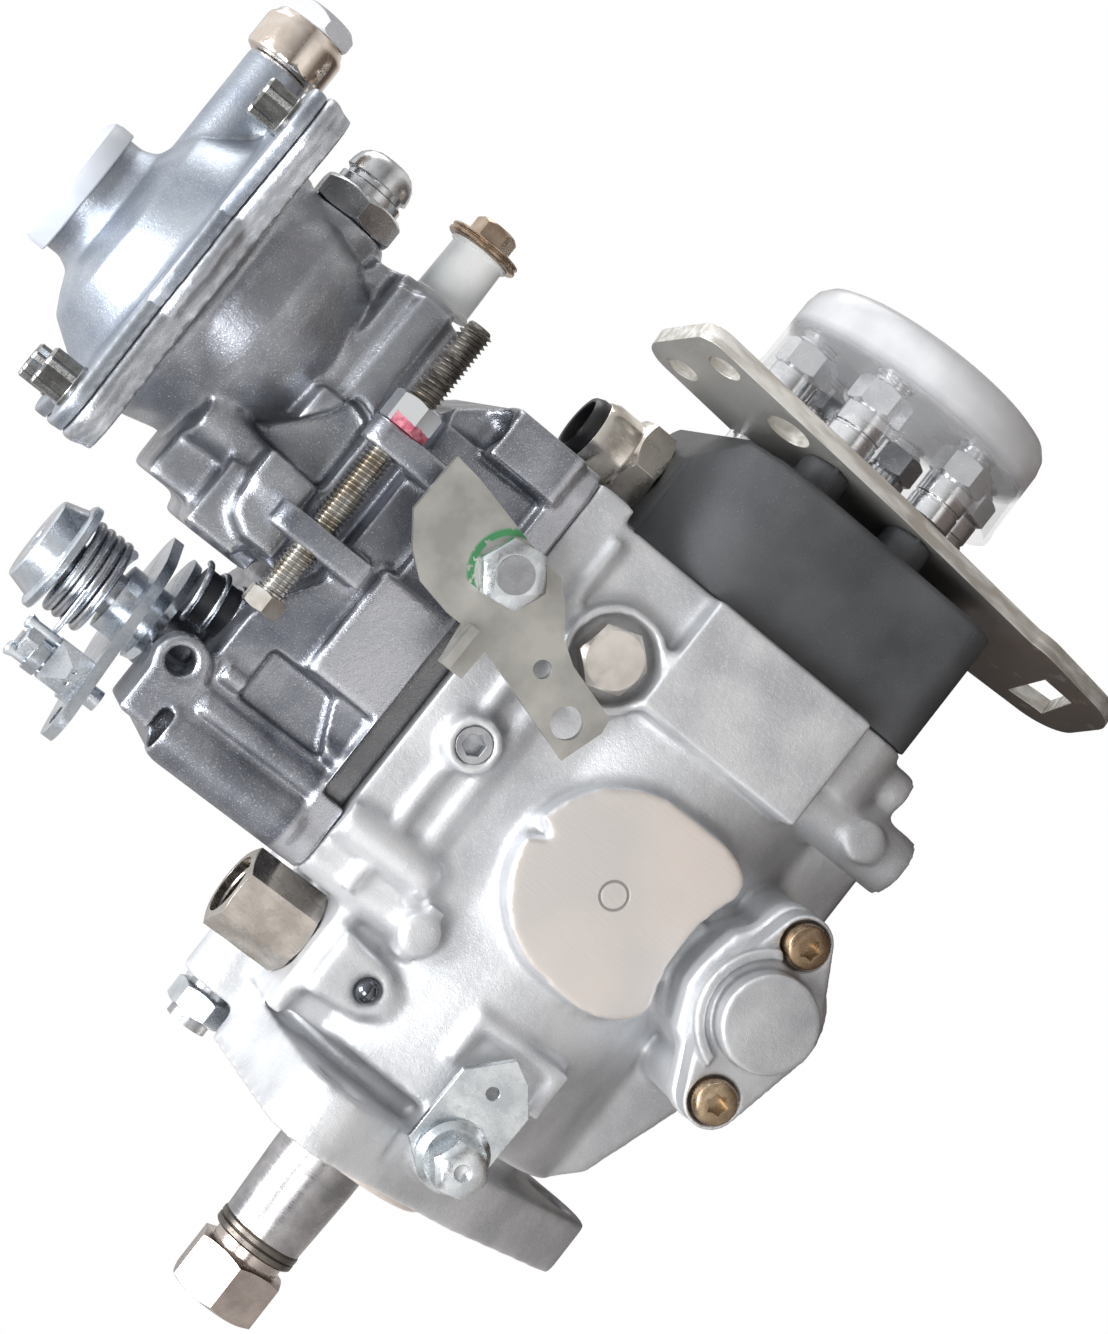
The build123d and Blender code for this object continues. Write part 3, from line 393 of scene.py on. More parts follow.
def crisp(piece, width_mm):
    """Breaks the sharp edges of a machined piece, and shades its faces flat and its rounds smooth."""
    edge_angle = math.radians(32)
    only(piece)
    bpy.ops.object.mode_set(mode="EDIT")
    bpy.ops.mesh.select_all(action="SELECT")
    bpy.ops.mesh.dissolve_limited(angle_limit=math.radians(0.6))
    bpy.ops.object.mode_set(mode="OBJECT")
    bpy.ops.object.shade_smooth_by_angle(angle=edge_angle)
    apply_modifier(piece, "BEVEL", width=width_mm * MM, segments=2, limit_method="ANGLE",
                   angle_limit=edge_angle, harden_normals=True)
    return piece


QUARTER = math.pi / 2
WAYS = {"z": Matrix(), "x": Matrix.Rotation(QUARTER, 4, "Y"),
        "near": Matrix.Rotation(QUARTER, 4, "X"), "far": Matrix.Rotation(-QUARTER, 4, "X")}


def stand(piece, point, way, turn=0.0):
    """Lays a piece that was made about Z along its way, at a point in millimetres."""
    only(piece)
    moved = Matrix.Translation([value * MM for value in point])
    piece.matrix_world = moved @ WAYS[way] @ Matrix.Rotation(math.radians(turn), 4, "Z")
    bpy.ops.object.transform_apply(location=True, rotation=True, scale=True)
    return piece


def hexagon(name, flats, length, bore=0.0, crown=0.07):
    """A piece of hexagon bar with its corners turned back at both ends, bored through if it has a bore."""
    corner = flats / 3 ** 0.5
    clear = flats * 0.59
    piece = turned(name, [(0, corner), (length, corner)], 6)
    cone = turned("cone", [(0, flats * 0.5), (flats * 0.05, clear), (length - flats * crown, clear),
                           (length, flats * 0.47)], 60)
    combine(piece, cone, "INTERSECT")
    if bore:
        combine(piece, turned("drill", [(-1, bore), (length + 1, bore)]), "DIFFERENCE")
    return crisp(piece, 0.22)


taper_steel = metal_finish(
    "ground_taper", tint(176, 174, 175), tint(140, 139, 142), 0.28, 0.25, (1, 0.03, 0.03))
paint_node("drive_shaft", taper_steel)

rosy_nickel = metal_finish("nickel_plate", tint(190, 180, 174), tint(158, 147, 142), 0.22, 0.6, (1, 1, 0.4))
shaft_nut = hexagon("shaft_hexagon", 21, 12.5, 7.02, 0.05)
collar = turned("nut_collar", [(12.4, 7.02), (12.4, 8.7), (15.05, 8.7), (15.05, 7.02), (12.4, 7.02)])
stand(joined(shaft_nut, crisp(collar, 0.1)), (-48.5, 0, 0), "x", -11)
fit(shaft_nut, "shaft_nut", "drive", rosy_nickel)

dark_steel = metal_finish("oiled_steel", tint(120, 114, 108), tint(84, 80, 76), 0.36, 0.3)
washer = turned("shaft_ring", [(0, 7.05), (0, 9.8), (0.5, 10.3), (1.7, 10.3), (2, 9.9), (2.3, 10.3),
                               (3.4, 10.3), (3.9, 9.9), (3.9, 7.05), (0, 7.05)], 64)
stand(crisp(washer, 0.1), (-33.35, 0, 0), "x")
fit(washer, "shaft_washer", "drive", dark_steel)

# Shaft lock: a flanged bolt with a dimpled crown that clamps the shaft for shipping, over a spacer plate.
# Both are zinc plated; the plate is pressed sheet with its corners cut off.

LOCK = (15.6, -50.6, -6.4)
zinc = metal_finish("zinc_plating", tint(222, 227, 230), tint(188, 194, 199), 0.25, 0.8)
lock_bolt = turned("lock_bolt_head", [(-3, 3.4), (0, 3.4), (0, 7.6), (0.5, 8), (1.6, 8), (3, 6.6)])
crown = turned("crown", [(3, 6.35), (10.6, 6.35), (12, 5.0)], 6)
dome = turned("dome", [(3, 6.6), (9.5, 6.4), (11.2, 5.4), (12, 4.0)])
combine(crown, dome, "INTERSECT")
combine(crown, turned("dimple", [(11.1, 0.6), (11.5, 1.6), (12.2, 2.0)], 24), "DIFFERENCE")
stand(joined(lock_bolt, crisp(crown, 0.35)), LOCK, "near", 10)
fit(crisp(lock_bolt, 0.12), "lock_bolt", "housing", zinc)
lock_plate = crisp(lifted("lock_plate", "lock_spacer"), 0.35)
fit(lock_plate, "lock_plate", "housing", zinc)

# Governor shaft end, ball plug, pivot screws and the plug of the access hole: small plated fittings.
# The nut locks the governor shaft, the polished ball seals a drilling, the pivots carry the inner levers,
# and the access plug sits right below the stop shaft.

governor_nut = stand(hexagon("governor_lock_nut", 13, 5.9, 5.02), (0.55, 0, 44), "x", 12)
fit(governor_nut, "governor_shaft_nut", "housing", zinc)
paint_node("ball_plug", metal_finish("polished_ball", tint(120, 124, 130), tint(90, 94, 100), 0.12))
pivots = crisp(lifted("pivot_screws", "pivot_pair"), 0.3)
fit(pivots, "pivot_screws", "housing",
    metal_finish("pivot_steel", tint(196, 198, 202), tint(150, 152, 158), 0.3))
STOP_SHAFT_X = 117.7
access = stand(hexagon("access_hexagon", 13.5, 6.6, 0, 0.12), (STOP_SHAFT_X, -37.4, 30), "near", 18)
fit(access, "access_plug", "housing",
    metal_finish("plug_nickel", tint(226, 222, 216), tint(206, 200, 194), 0.34))

# Fuel inlet: a tall hollow hexagon screwed into the deck, its thread open at the top for the supply pipe.
# It is machined bar, and its nickel plating has gone dull and a little brown.


def wound(name, radius, section, corners, pitch, turns, around=32, inward=False):
    """A closed section carried round Z and upward: a spring's wire, or with three corners a thread, whose
    crest points out, or inward in a bore."""
    bpy.ops.object.select_all(action="DESELECT")
    crest = -QUARTER if inward else QUARTER
    bpy.ops.mesh.primitive_circle_add(vertices=corners, radius=section * MM, fill_type="NOTHING",
                                      location=(radius * MM, 0, 0), rotation=(QUARTER, crest, 0))
    piece = bpy.context.object
    piece.name = name
    bpy.ops.object.transform_apply(location=True, rotation=True, scale=True)
    apply_modifier(piece, "SCREW", axis="Z", screw_offset=pitch * MM, steps=around, render_steps=around,
                   iterations=turns, use_merge_vertices=True, merge_threshold=0.001 * MM)
    bpy.ops.object.mode_set(mode="EDIT")
    bpy.ops.mesh.select_all(action="SELECT")
    bpy.ops.mesh.fill_holes(sides=corners)
    bpy.ops.mesh.normals_make_consistent(inside=False)
    bpy.ops.object.mode_set(mode="OBJECT")
    bpy.ops.object.shade_smooth_by_angle(angle=math.radians(40))
    return piece


inlet = hexagon("inlet_hexagon", 17.6, 19, 7.0, 0.04)
inlet_thread = stand(wound("inlet_thread", 7.0, 0.62, 3, 1.5, 6, inward=True), (0, 0, 9), "z")
inlet_floor = turned("inlet_floor", [(4, 7.3), (4, 5.6), (8, 5.6), (8, 7.3), (4, 7.3)])
stand(joined(inlet, inlet_thread, inlet_floor), (30.6, -21, 41), "z", 30)
dull_nickel = metal_finish("dull_nickel", tint(196, 190, 183), tint(160, 154, 147), 0.22, 0.5, (1, 1, 0.3))
fit(inlet, "inlet_fitting", "housing", dull_nickel)

# Timing device: a cap on each side closes the bore of the timing piston, on two star-socket screws.
# The caps are die-cast and blasted as the housing is; the screws are yellow passivated.


def pinched(piece, sides, factor):
    """Draws every other corner of a many-sided piece inward, for a star's points or a head's flutes."""
    for vertex in piece.data.vertices:
        corner = round(math.atan2(vertex.co.y, vertex.co.x) / (2 * math.pi) * sides)
        if corner % 2 == 0:
            vertex.co.x *= factor
            vertex.co.y *= factor
    return piece


timing_caps = casting("timing_covers", "timing_caps", 0.55, 3, 0.5)
cap_skin, place, colour, roughness, relief = cast_finish(
    "timing_skin", tint(204, 206, 209), tint(168, 170, 174), 0.46, 0.3)
fit(timing_caps, "timing_covers", "housing", shade(
    cap_skin, Base_Color=colour, Roughness=roughness, Metallic=0.62, Normal=relief.bump(0.09)))

yellow = metal_finish("yellow_passivation", tint(196, 176, 148), tint(150, 128, 104), 0.28, 0.5)
CAP_FACE = 55
timing_screws = []
for x, z in ((58, -42.5), (95.5, -37.5)):
    for way, y in (("near", -CAP_FACE), ("far", CAP_FACE)):
        screw = turned("star_socket_screw", [(-13, 2.9), (0, 2.9), (0, 4.7), (0.4, 5), (3.6, 5),
                                             (4.6, 4.5), (5, 3.6)])
        star = pinched(turned("star", [(2.2, 2.6), (6, 2.6)], 12), 12, 0.72)
        combine(crisp(screw, 0.15), star, "DIFFERENCE")
        timing_screws.append(stand(screw, (x, y, z), way, 12))
timing_set = joined(*timing_screws)
bpy.ops.object.shade_smooth_by_angle(angle=math.radians(32))
fit(timing_set, "timing_cover_screws", "housing", yellow)

# Governor cover: a die-cast lid with ribs, screw posts and the block that carries the throttle shaft.
# It is darker and glossier than the housing, and holds the dark barrel and the coil of the idle stop.

FRONT_SCREW_X = 49
REAR_SCREW_X = 140
SCREW_ROW_Y = -34
PANEL_START = 77
PANEL_END = 103
PANEL_TOP = 79
LIP_START = 58.5
LIP_END = 113
LIP_TOP = 60.3
corner_post = stand(turned("corner_post", [(60, 6.2), (94.5, 6.2)]), (FRONT_SCREW_X, SCREW_ROW_Y, 0), "z")
second_post = stand(turned("second_post", [(60, 3.2), (91, 3.2)]), (58.2, -35, 0), "z")
raised_panel = brick((PANEL_START, -38.4, 60.5), (PANEL_END, -30, PANEL_TOP))
rear_post = brick((134.6, -40.2, 60), (146.2, -30, 77.5))
wells = [stand(turned("screw_well", [(63.1, 4.75), (97, 4.75)]), (x, SCREW_ROW_Y, 0), "z")
         for x in (FRONT_SCREW_X, REAR_SCREW_X)]
lip_recess = brick((LIP_START, -45, 53), (LIP_END, -34, LIP_TOP))
eye_boss = stand(turned("eye_boss", [(0, 6.2), (9, 6.2)]), (61.8, -28, 99.6), "near")
eye = stand(turned("eye", [(0, 3.1), (12, 3.1)], 32), (62.2, -27, 100.3), "near")
pocket = prism([(63.5, 86.5), (76, 86.5), (76, 70.5), (63.5, 64.5)], -45, -31.8)
groove = prism([(54.9, 90), (56.1, 90), (56.1, 63), (54.9, 63)], -45, -34.2)
posts = (corner_post, second_post, raised_panel, rear_post, eye_boss)
hollows = (eye, pocket, groove, lip_recess, *wells)
cover = casting("governor_cover", "governor_lid", 0.7, 5, 0.5, posts, hollows)

cover_skin, place, colour, roughness, relief = cast_finish(
    "cover_skin", tint(160, 163, 171), tint(108, 112, 122), 0.29)
along = place.part(0)
height = place.part(2)
near_face = place.part(1) < -34.5 * MM
# Painted highlights lighten the raised panel and the band along the lower lip, and a painted shadow darkens
# the lip's underside.
lit_panel = along.between(PANEL_START + 0.5, PANEL_END) * (height < PANEL_TOP * MM) * near_face
lit_lip_band = height.spread((LIP_TOP + 1.2) * MM, (LIP_TOP + 2.2) * MM, 1, 0) * near_face
painted_lip_shadow = (height < (LIP_TOP + 0.3) * MM) * along.between(LIP_START, LIP_END)
painted_highlight = lit_panel.larger(lit_lip_band) * (1 - painted_lip_shadow)
colour = (painted_highlight * 0.7).mix((painted_lip_shadow * 0.7).mix(colour, tint(108, 107, 106)), tint(196, 198, 204))
fit(cover, "governor_cover", "housing", shade(
    cover_skin, Base_Color=colour, Roughness=roughness, Metallic=0.85, Normal=relief.bump(0.1)))
cover_screws = crisp(lifted("cover_screws", "lid_screws"), 0.25)
fit(cover_screws, "cover_screws", "housing", zinc)


def plastic_finish(name, light, dark, rough):
    """Moulded plastic: an even colour with slight flow marks, and the mould's finely dimpled skin."""
    material, place = blank_finish(name)
    flow = place.clouds(12, 2)
    skin = place.noise(0.6, 2)
    return shade(material, Base_Color=flow.mix(dark, light), Metallic=0.0,
                 Roughness=skin.spread(0.3, 0.7, rough - 0.04, rough + 0.05), Normal=skin.bump(0.015))


IDLE_X = 75.2
IDLE_Y = -15
dark_barrel = stand(turned("dark_barrel", [(86, 5.6), (104.5, 5.6)]), (IDLE_X, IDLE_Y, 0), "z")
dark_barrel.data.materials.append(plastic_finish("dark_rubber", tint(42, 44, 50), tint(28, 30, 34), 0.45))
idle_coil = stand(wound("idle_coil", 6.3, 0.75, 10, 4.6, 4, 40), (IDLE_X, IDLE_Y, 86.4), "z")
idle_wire = metal_finish("idle_wire", tint(196, 200, 206), tint(150, 154, 160), 0.25, 0.5)
idle_coil.data.materials.append(idle_wire)
joined(cover, dark_barrel, idle_coil)

# Top speed stop: a long screw through two posts of the cover, with its thread showing between them.
# Its lock nut carries a dab of red sealing paint.

STOP_LINE_Y = -40
STOP_LINE_Z = 95
LOCK_NUT_X = 127
stop_screw = turned("speed_screw_core", [(4, 2.7), (73.2, 2.7), (73.6, 2.4)])
speed_thread = stand(wound("speed_thread", 2.85, 0.62, 3, 1.1, 62, 28), (0, 0, 4.4), "z")
joined(stop_screw, hexagon("speed_screw_head", 8, 4.4), speed_thread)
stand(stop_screw, (80, STOP_LINE_Y, STOP_LINE_Z), "x")
screw_zinc, place = blank_finish("oily_screw_zinc")
tail = place.part(0).spread(133 * MM, 136 * MM)
grime = tail * place.noise(3.0, 4).spread(0.35, 0.6, 0.35, 1)
plating = place.clouds(6, 2).mix(tint(176, 168, 156), tint(208, 208, 206))
fit(stop_screw, "speed_stop_screw", "housing", shade(
    screw_zinc,
    Base_Color=grime.mix(plating, tint(72, 68, 64)),
    Roughness=grime * 0.3 + 0.24,
    Metallic=1 - grime * 0.5,
    Normal=(grime * place.noise(0.8, 3)).bump(0.15)))

lock_nut = hexagon("speed_lock_nut", 10, 7, 3.42)
stop_nut = stand(lock_nut, (LOCK_NUT_X, STOP_LINE_Y, STOP_LINE_Z), "x", 10)
painted_nut, place = blank_finish("nut_with_red_seal")
ragged_edge = place.part(0) + place.noise(1.8, 2) * 1.6 * MM
dab = (ragged_edge < (LOCK_NUT_X + 3) * MM) * (place.part(2) < (STOP_LINE_Z + 3.6) * MM)
red_seal = place.noise(1.5, 3).spread(0.4, 0.6).mix(tint(164, 74, 94), tint(202, 132, 146))
fit(stop_nut, "stop_screw_nut", "housing", shade(
    painted_nut,
    Base_Color=dab.mix(tint(236, 238, 239), red_seal),
    Roughness=dab * 0.25 + 0.2,
    Metallic=1 - dab * 0.9,
    Normal=(dab * place.noise(0.8, 2)).bump(0.1)))

# Speed lever: a plate on the throttle shaft, with the block, prongs and nut that its spring hooks on.
# A cap like a small drum holds the spring down; all of it is bright zinc over steel.

THROTTLE_X = 63
lever_zinc = metal_finish("bright_zinc", tint(220, 226, 232), tint(188, 196, 206), 0.22, 0.7)
speed_lever = lifted("speed_lever", "speed_lever_plate")
hook_block = brick((40.6, -20.5, 111.4), (50.2, -14, 119.6))
for x in (43.6, 46.4):
    hook_hole = stand(turned("hook_hole", [(0, 0.7), (3, 0.7)], 20), (x, -19, 114), "near")
    combine(hook_block, hook_hole, "DIFFERENCE")
prong_steps = [(119, 1.2), (125.6, 1.2), (127.4, 1.7), (127.9, 1.2)]
prongs = [stand(turned("prong", prong_steps, 20), (x, -17, 0), "z") for x in (42, 49)]
hook_nut = stand(hexagon("hook_nut", 6.5, 3.6), (45.4, -16.5, 122.6), "z", 12)
spring_leg = stand(turned("spring_leg", [(0, 0.65), (19, 0.65)], 16), (42, -15, 121.6), "x")
under_plate = stand(turned("under_plate", [(104.3, 12.5), (106.4, 13)], 64), (67, -4, 0), "z")
joined(speed_lever, hook_block, *prongs, hook_nut, spring_leg, under_plate)
fit(crisp(speed_lever, 0.3), "speed_lever", "speed", lever_zinc)
drum = turned("spring_drum", [(131, 5), (127.7, 5), (127.5, 5.2), (127.5, 12.8), (127.8, 13.2),
                              (129.2, 13.2), (129.7, 12.6), (130, 11.4), (131.6, 10.9), (135.1, 9.9),
                              (135.5, 9.4), (135.5, 3.4), (135.2, 3), (131, 3), (131, 5)], 64)
stand(crisp(drum, 0.12), (THROTTLE_X, 0, 0), "z")
fit(drum, "speed_lever_cap", "speed", lever_zinc)
spring = stand(wound("return_spring", 10.1, 1.2, 12, 2.35, 4, 48), (THROTTLE_X, 0, 116.6), "z", 20)
spring_wire = metal_finish("spring_wire", tint(188, 190, 194), tint(150, 152, 158), 0.28, 0.5)
fit(spring, "speed_lever_spring", "speed", spring_wire)

# Stop lever: a pressed plate with a turned-out lug and two holes, clamped on its shaft by a hexagon nut.
# Its plating is a warm grey; a green line of sealing paint runs round the nut.

STOP_SHAFT_Z = 61
LEVER_FACE = -51.5
lever_outline = [(94.6, 61), (103.4, 62.2), (103.4, 66), (105, 74.3), (109, 79.8), (115.7, 84.8),
                 (129.3, 84.4), (128.6, 78), (124.6, 60), (123.4, 52), (119.5, 47.5), (114.3, 43.8),
                 (111, 38.5), (107.2, 25.4), (103.9, 24.8), (94.3, 28), (102.2, 55), (94.6, 55.4)]
stop_lever = prism(lever_outline, LEVER_FACE, -49.2)
for x, z, radius in ((STOP_SHAFT_X, STOP_SHAFT_Z, 4.02), (106.5, 43.2, 2), (101, 32, 3.6)):
    lever_hole = stand(turned("lever_hole", [(0, radius), (6, radius)]), (x, -47, z), "near")
    combine(stop_lever, lever_hole, "DIFFERENCE")
combine(stop_lever, brick((94.6, -55, 59.4), (104.5, -50, 61.4)), "UNION")
crisp(stop_lever, 0.3)
lever_paint, place = blank_finish("warm_zinc_plate")
from_shaft = place.far_from((STOP_SHAFT_X, 0, STOP_SHAFT_Z), IN_SIDE_VIEW)
upper = (place.part(2) > 62.5 * MM) * (place.part(0) > 111 * MM)
band = from_shaft.spread(7.3 * MM, 7.7 * MM) * from_shaft.spread(8.8 * MM, 9.4 * MM, 1, 0)
green = band * upper * (place.noise(1.6, 3) > 0.42)
warm_grey = place.clouds(9, 3).mix(tint(158, 157, 153), tint(184, 183, 178))
grit = place.noise(0.5, 3)
fit(stop_lever, "stop_lever", "stop", shade(
    lever_paint,
    Base_Color=green.mix(warm_grey, tint(52, 120, 74)),
    Roughness=grit.spread(0.3, 0.7, 0.32, 0.46) + green * 0.1,
    Metallic=0.85 - green * 0.85,
    Normal=(grit + green * 1.5).bump(0.02)))
lever_hexagon = hexagon("stop_lever_hexagon", 13, 5, 4.02)
lever_nut = stand(lever_hexagon, (STOP_SHAFT_X, LEVER_FACE, STOP_SHAFT_Z), "near", 8)
fit(lever_nut, "stop_lever_nut", "stop", zinc)

# Boost compensator: a bowl cast with its foot on the governor cover, and a domed cover over its membrane.
# The bowl is glossy grey, the cover brighter and bluish; four fluted screws pull the flange together.

BOWL_X = 127
foot_block = brick((85.4, -27, 104), (101.8, -10, 116.4))
front_side = [(90, 97.5), (90, 106), (92.5, 110), (96, 111.2), (101.5, 111.2), (101.5, 97.5)]
front_block = prism(front_side, -31, -15)
column = stand(turned("foot_column", [(98, 5), (112, 4.6), (127, 6)]), (105.2, -20.5, 0), "z")
web = prism([(130, 99), (137.6, 108), (143.5, 114.5), (147, 117.5), (154, 117.5), (154, 99)], -15, -3)
stop_barrel = stand(turned("stop_barrel", [(0, 8.6), (25.2, 8.6)]), (128, -11.5, 101.3), "x")
belly = stand(turned("bowl_belly", [(105.4, 5), (107, 11), (110, 16), (116, 21), (122, 24), (128, 26),
                                            (137, 25)]), (128.5, -8, 0), "z")
recess = prism([(107.5, 97.6), (125.6, 97.6), (127.5, 104.3), (121, 107.2), (114.8, 112.6), (110, 118),
                (108.5, 114)], -40, -18.5)
underside = brick((125, -24, 90), (154, 4, 97.3))
blocks = (foot_block, front_block, column, web, stop_barrel, belly)
bowl = casting("compensator_housing", "compensator_bowl", 0.75, 5, 0.5, blocks, (recess, underside), 134)

bowl_skin, place, colour, roughness, relief = cast_finish(
    "bowl_skin", tint(164, 167, 173), tint(124, 127, 135), 0.33)
flange = place.part(2).spread(138 * MM, 141 * MM)
worn = flange * place.noise(1.5, 4, (0.4, 0.4, 1.4)).spread(0.46, 0.74)
colour = (worn * 0.55).mix((flange * 0.6).mix(colour, tint(178, 182, 189)), tint(224, 227, 232))
fit(bowl, "compensator_housing", "housing", shade(
    bowl_skin, Base_Color=colour, Roughness=roughness, Metallic=0.85, Normal=relief.bump(0.08)))

lid = casting("compensator_cover", "compensator_lid", 0.7, 4, 0.6)
lid_skin, place, colour, roughness, relief = cast_finish(
    "lid_skin", tint(170, 177, 187), tint(132, 140, 153), 0.37)
fit(lid, "compensator_cover", "housing", shade(
    lid_skin, Base_Color=colour, Roughness=roughness, Metallic=0.82, Normal=relief.bump(0.07)))

SCREW_REACH = 34.6
fluted = []
for x in (BOWL_X - SCREW_REACH, BOWL_X + SCREW_REACH):
    for y in (-SCREW_REACH, SCREW_REACH):
        fluted_head = pinched(turned("fluted_head", [(0, 4.55), (7.0, 4.55), (7.5, 4.1)], 24), 24, 0.86)
        combine(fluted_head, turned("key", [(4, 2.5), (8, 2.5)], 6), "DIFFERENCE")
        stem = turned("stem", [(-9.6, 2.55), (0.1, 2.55)], 24)
        joined(fluted_head, stem, turned("flange", [(0, 4.8), (0.7, 4.8), (0.9, 4.6)]))
        fluted.append(stand(fluted_head, (x, y, 151.1), "z", 7))
fluted_set = joined(*fluted)
bpy.ops.object.shade_smooth_by_angle(angle=math.radians(25))
fit(fluted_set, "compensator_screws", "housing",
    metal_finish("screw_plate", tint(196, 198, 198), tint(128, 129, 128), 0.22, 0.4))

# Fittings of the compensator: the white cap pressed over its neck, the boost union with its plug, the domed
# vent, and the sleeve and screw of the full-load stop. Cap, plug and sleeve are plastic, the rest is plated.

white_plastic = plastic_finish("white_cap_plastic", tint(206, 211, 219), tint(192, 198, 208), 0.38)
neck_cap = turned("neck_cap", [(173, 14.15), (171.9, 14.15), (171.7, 14.4), (171.7, 15.1), (172, 15.4),
                               (174.6, 15.4), (176.2, 15.0), (177.3, 13.6), (177.8, 11.5), (178, 6)], 72)
stand(neck_cap, (BOWL_X, 0, 0), "z")
bpy.ops.object.shade_smooth_by_angle(angle=math.radians(35))
fit(neck_cap, "compensator_cap", "housing", white_plastic)

UNION_Z = 156.6
union = turned("union_body", [(0, 4.5), (0, 8.3), (0.5, 9.3), (1.3, 9.6), (7.6, 9.6), (8.6, 9.3),
                              (9.4, 8.6), (10.4, 8.2), (10.6, 7.8), (10.6, 4.5), (0, 4.5)], 64)
stand(crisp(union, 0.12), (173.4, 0, UNION_Z), "x")
warm_bronze = metal_finish("warm_bronze_plate", tint(232, 222, 212), tint(206, 192, 178), 0.12, 0.6)
fit(union, "boost_union", "housing", warm_bronze)
union_spigot = turned("union_spigot", [(-10.5, 4.45), (0.2, 4.45)])
union_plug = joined(hexagon("union_plug", 15.5, 4.5, 0, 0.12), union_spigot)
stand(union_plug, (184, 0, UNION_Z), "x", 8)
clear_white = plastic_finish("clear_white_plastic", tint(214, 215, 222), tint(200, 202, 208), 0.25)
fit(union_plug, "boost_union_plug", "housing", clear_white)

vent = joined(hexagon("vent_hexagon", 19, 6.4, 0, 0.09),
              turned("vent_dome", [(6, 7.8), (8.4, 7.8), (8.7, 7.5), (8.7, 6.8), (10, 6.8), (10, 7.5),
                                   (10.3, 7.8), (12, 7.6), (13.8, 7.0), (15.2, 5.8), (16, 4.2)], 12),
              turned("vent_stem", [(-7, 4.9), (0.1, 4.9)]))
stand(crisp(vent, 0.1), (157, -4, 126), "x")
fit(vent, "vent_fitting", "housing",
    metal_finish("vent_plate", tint(214, 216, 218), tint(168, 170, 172), 0.22))

SLEEVE_Y = -10
SLEEVE_Z = 100.3
sleeve = turned("stop_sleeve", [(0, 4.05), (0, 6.9), (0.3, 7.1), (1.2, 7.1), (1.4, 6.7), (13.6, 6.4),
                                (13.8, 7.1), (14.4, 7.1), (14.6, 6.9), (14.6, 4.05), (0, 4.05)], 64)
stand(crisp(sleeve, 0.1), (155, SLEEVE_Y, SLEEVE_Z), "x")
fit(sleeve, "full_load_sleeve", "housing",
    plastic_finish("milky_sleeve", tint(236, 238, 238), tint(216, 220, 222), 0.3))
load_screw = turned("load_washer", [(-28.6, 3.95), (0, 3.95), (0, 8.3), (0.3, 8.7), (0.9, 8.7), (1.2, 8.2),
                                    (1.4, 8.2), (1.6, 8.6), (2.0, 8.6), (2.2, 8.2), (2.2, 3.9)])
joined(crisp(load_screw, 0.08), stand(hexagon("load_hexagon", 9, 4.6, 0, 0.1), (0, 0, 2.1), "z"))
stand(load_screw, (169.6, SLEEVE_Y, SLEEVE_Z), "x", 20)
fit(load_screw, "full_load_screw", "housing",
    metal_finish("copper_tinted_plate", tint(204, 186, 166), tint(160, 138, 118), 0.26))

# Distributor head: a hardened steel block with a black phosphate coat, bolted to the housing.
# The coat is a mat of tiny crystals with lighter specks.

head = casting("distributor_head", "distributor_block", 0.6, 2, 0.5)
phosphate, place = blank_finish("head_phosphate")
black = place.clouds(22, 4).mix(tint(70, 72, 75), tint(92, 94, 97))
crystals = place.noise(0.28, 2)
specks = crystals.spread(0.62, 0.78)
fit(head, "distributor_head", "housing", shade(
    phosphate,
    Base_Color=(specks * 0.5).mix(black, tint(150, 152, 154)),
    Roughness=crystals.spread(0.3, 0.7, 0.44, 0.6),
    Metallic=0.35,
    Normal=(crystals * 0.6 + place.noise(1.4, 2) * 0.5).bump(0.05)))
head_bolts = crisp(lifted("head_bolts", "head_bolt_set"), 0.2)
fit(head_bolts, "head_bolts", "housing", dark_steel)

# Rear support plate: pressed steel 4 mm thick, turned ten degrees about the upright, with holes and a window.
# Dark paint covers its faces, brownish low down, and its sheared edge is bare and bright.

PLATE_X = 177
PLATE_TURN = 10
plate = lifted("support_plate", "rear_plate")
window = prism([(11.7, -67.2), (8.9, -76.6), (-10.5, -72.4), (-10.7, -63.6)], -6, 2)
combine(plate, stand(window, (PLATE_X, 0, 0), "z", 90 + PLATE_TURN), "DIFFERENCE")
crisp(plate, 0.45)
plate_paint, place = blank_finish("rear_plate_paint")
facing = place.node("ShaderNodeNewGeometry", {}, {}, "Normal")
edge = facing.part(0).size().spread(0.45, 0.75, 1, 0)
rub = place.noise(5, 4).spread(0.62, 0.74) * 0.3
streak = place.noise(2.2, 3, (1, 1, 0.12)).spread(0.4, 0.62)
bare = edge.larger(rub)
low_down = place.part(2).spread(-30 * MM, -50 * MM)
face = low_down.mix(tint(160, 160, 158), tint(112, 101, 94))
paint = (place.clouds(26, 3) * 0.5).mix(face, tint(100, 98, 94))
steel = streak.mix(tint(196, 192, 184), tint(238, 237, 233))
grain = place.noise(0.5, 3)
fit(plate, "support_plate", "housing", shade(
    plate_paint,
    Base_Color=bare.mix(paint, steel),
    Roughness=grain.spread(0.3, 0.7, 0.34, 0.46),
    Metallic=bare * 0.4 + 0.2,
    Normal=(grain + streak * edge * 2.0).bump(0.05)))

# Delivery valve holders: six screwed fittings in the head, each with a body, a hexagon and a ringed nose.
# A push-on cap covers their open ends for shipping; its skirt is clear and its end is milky.

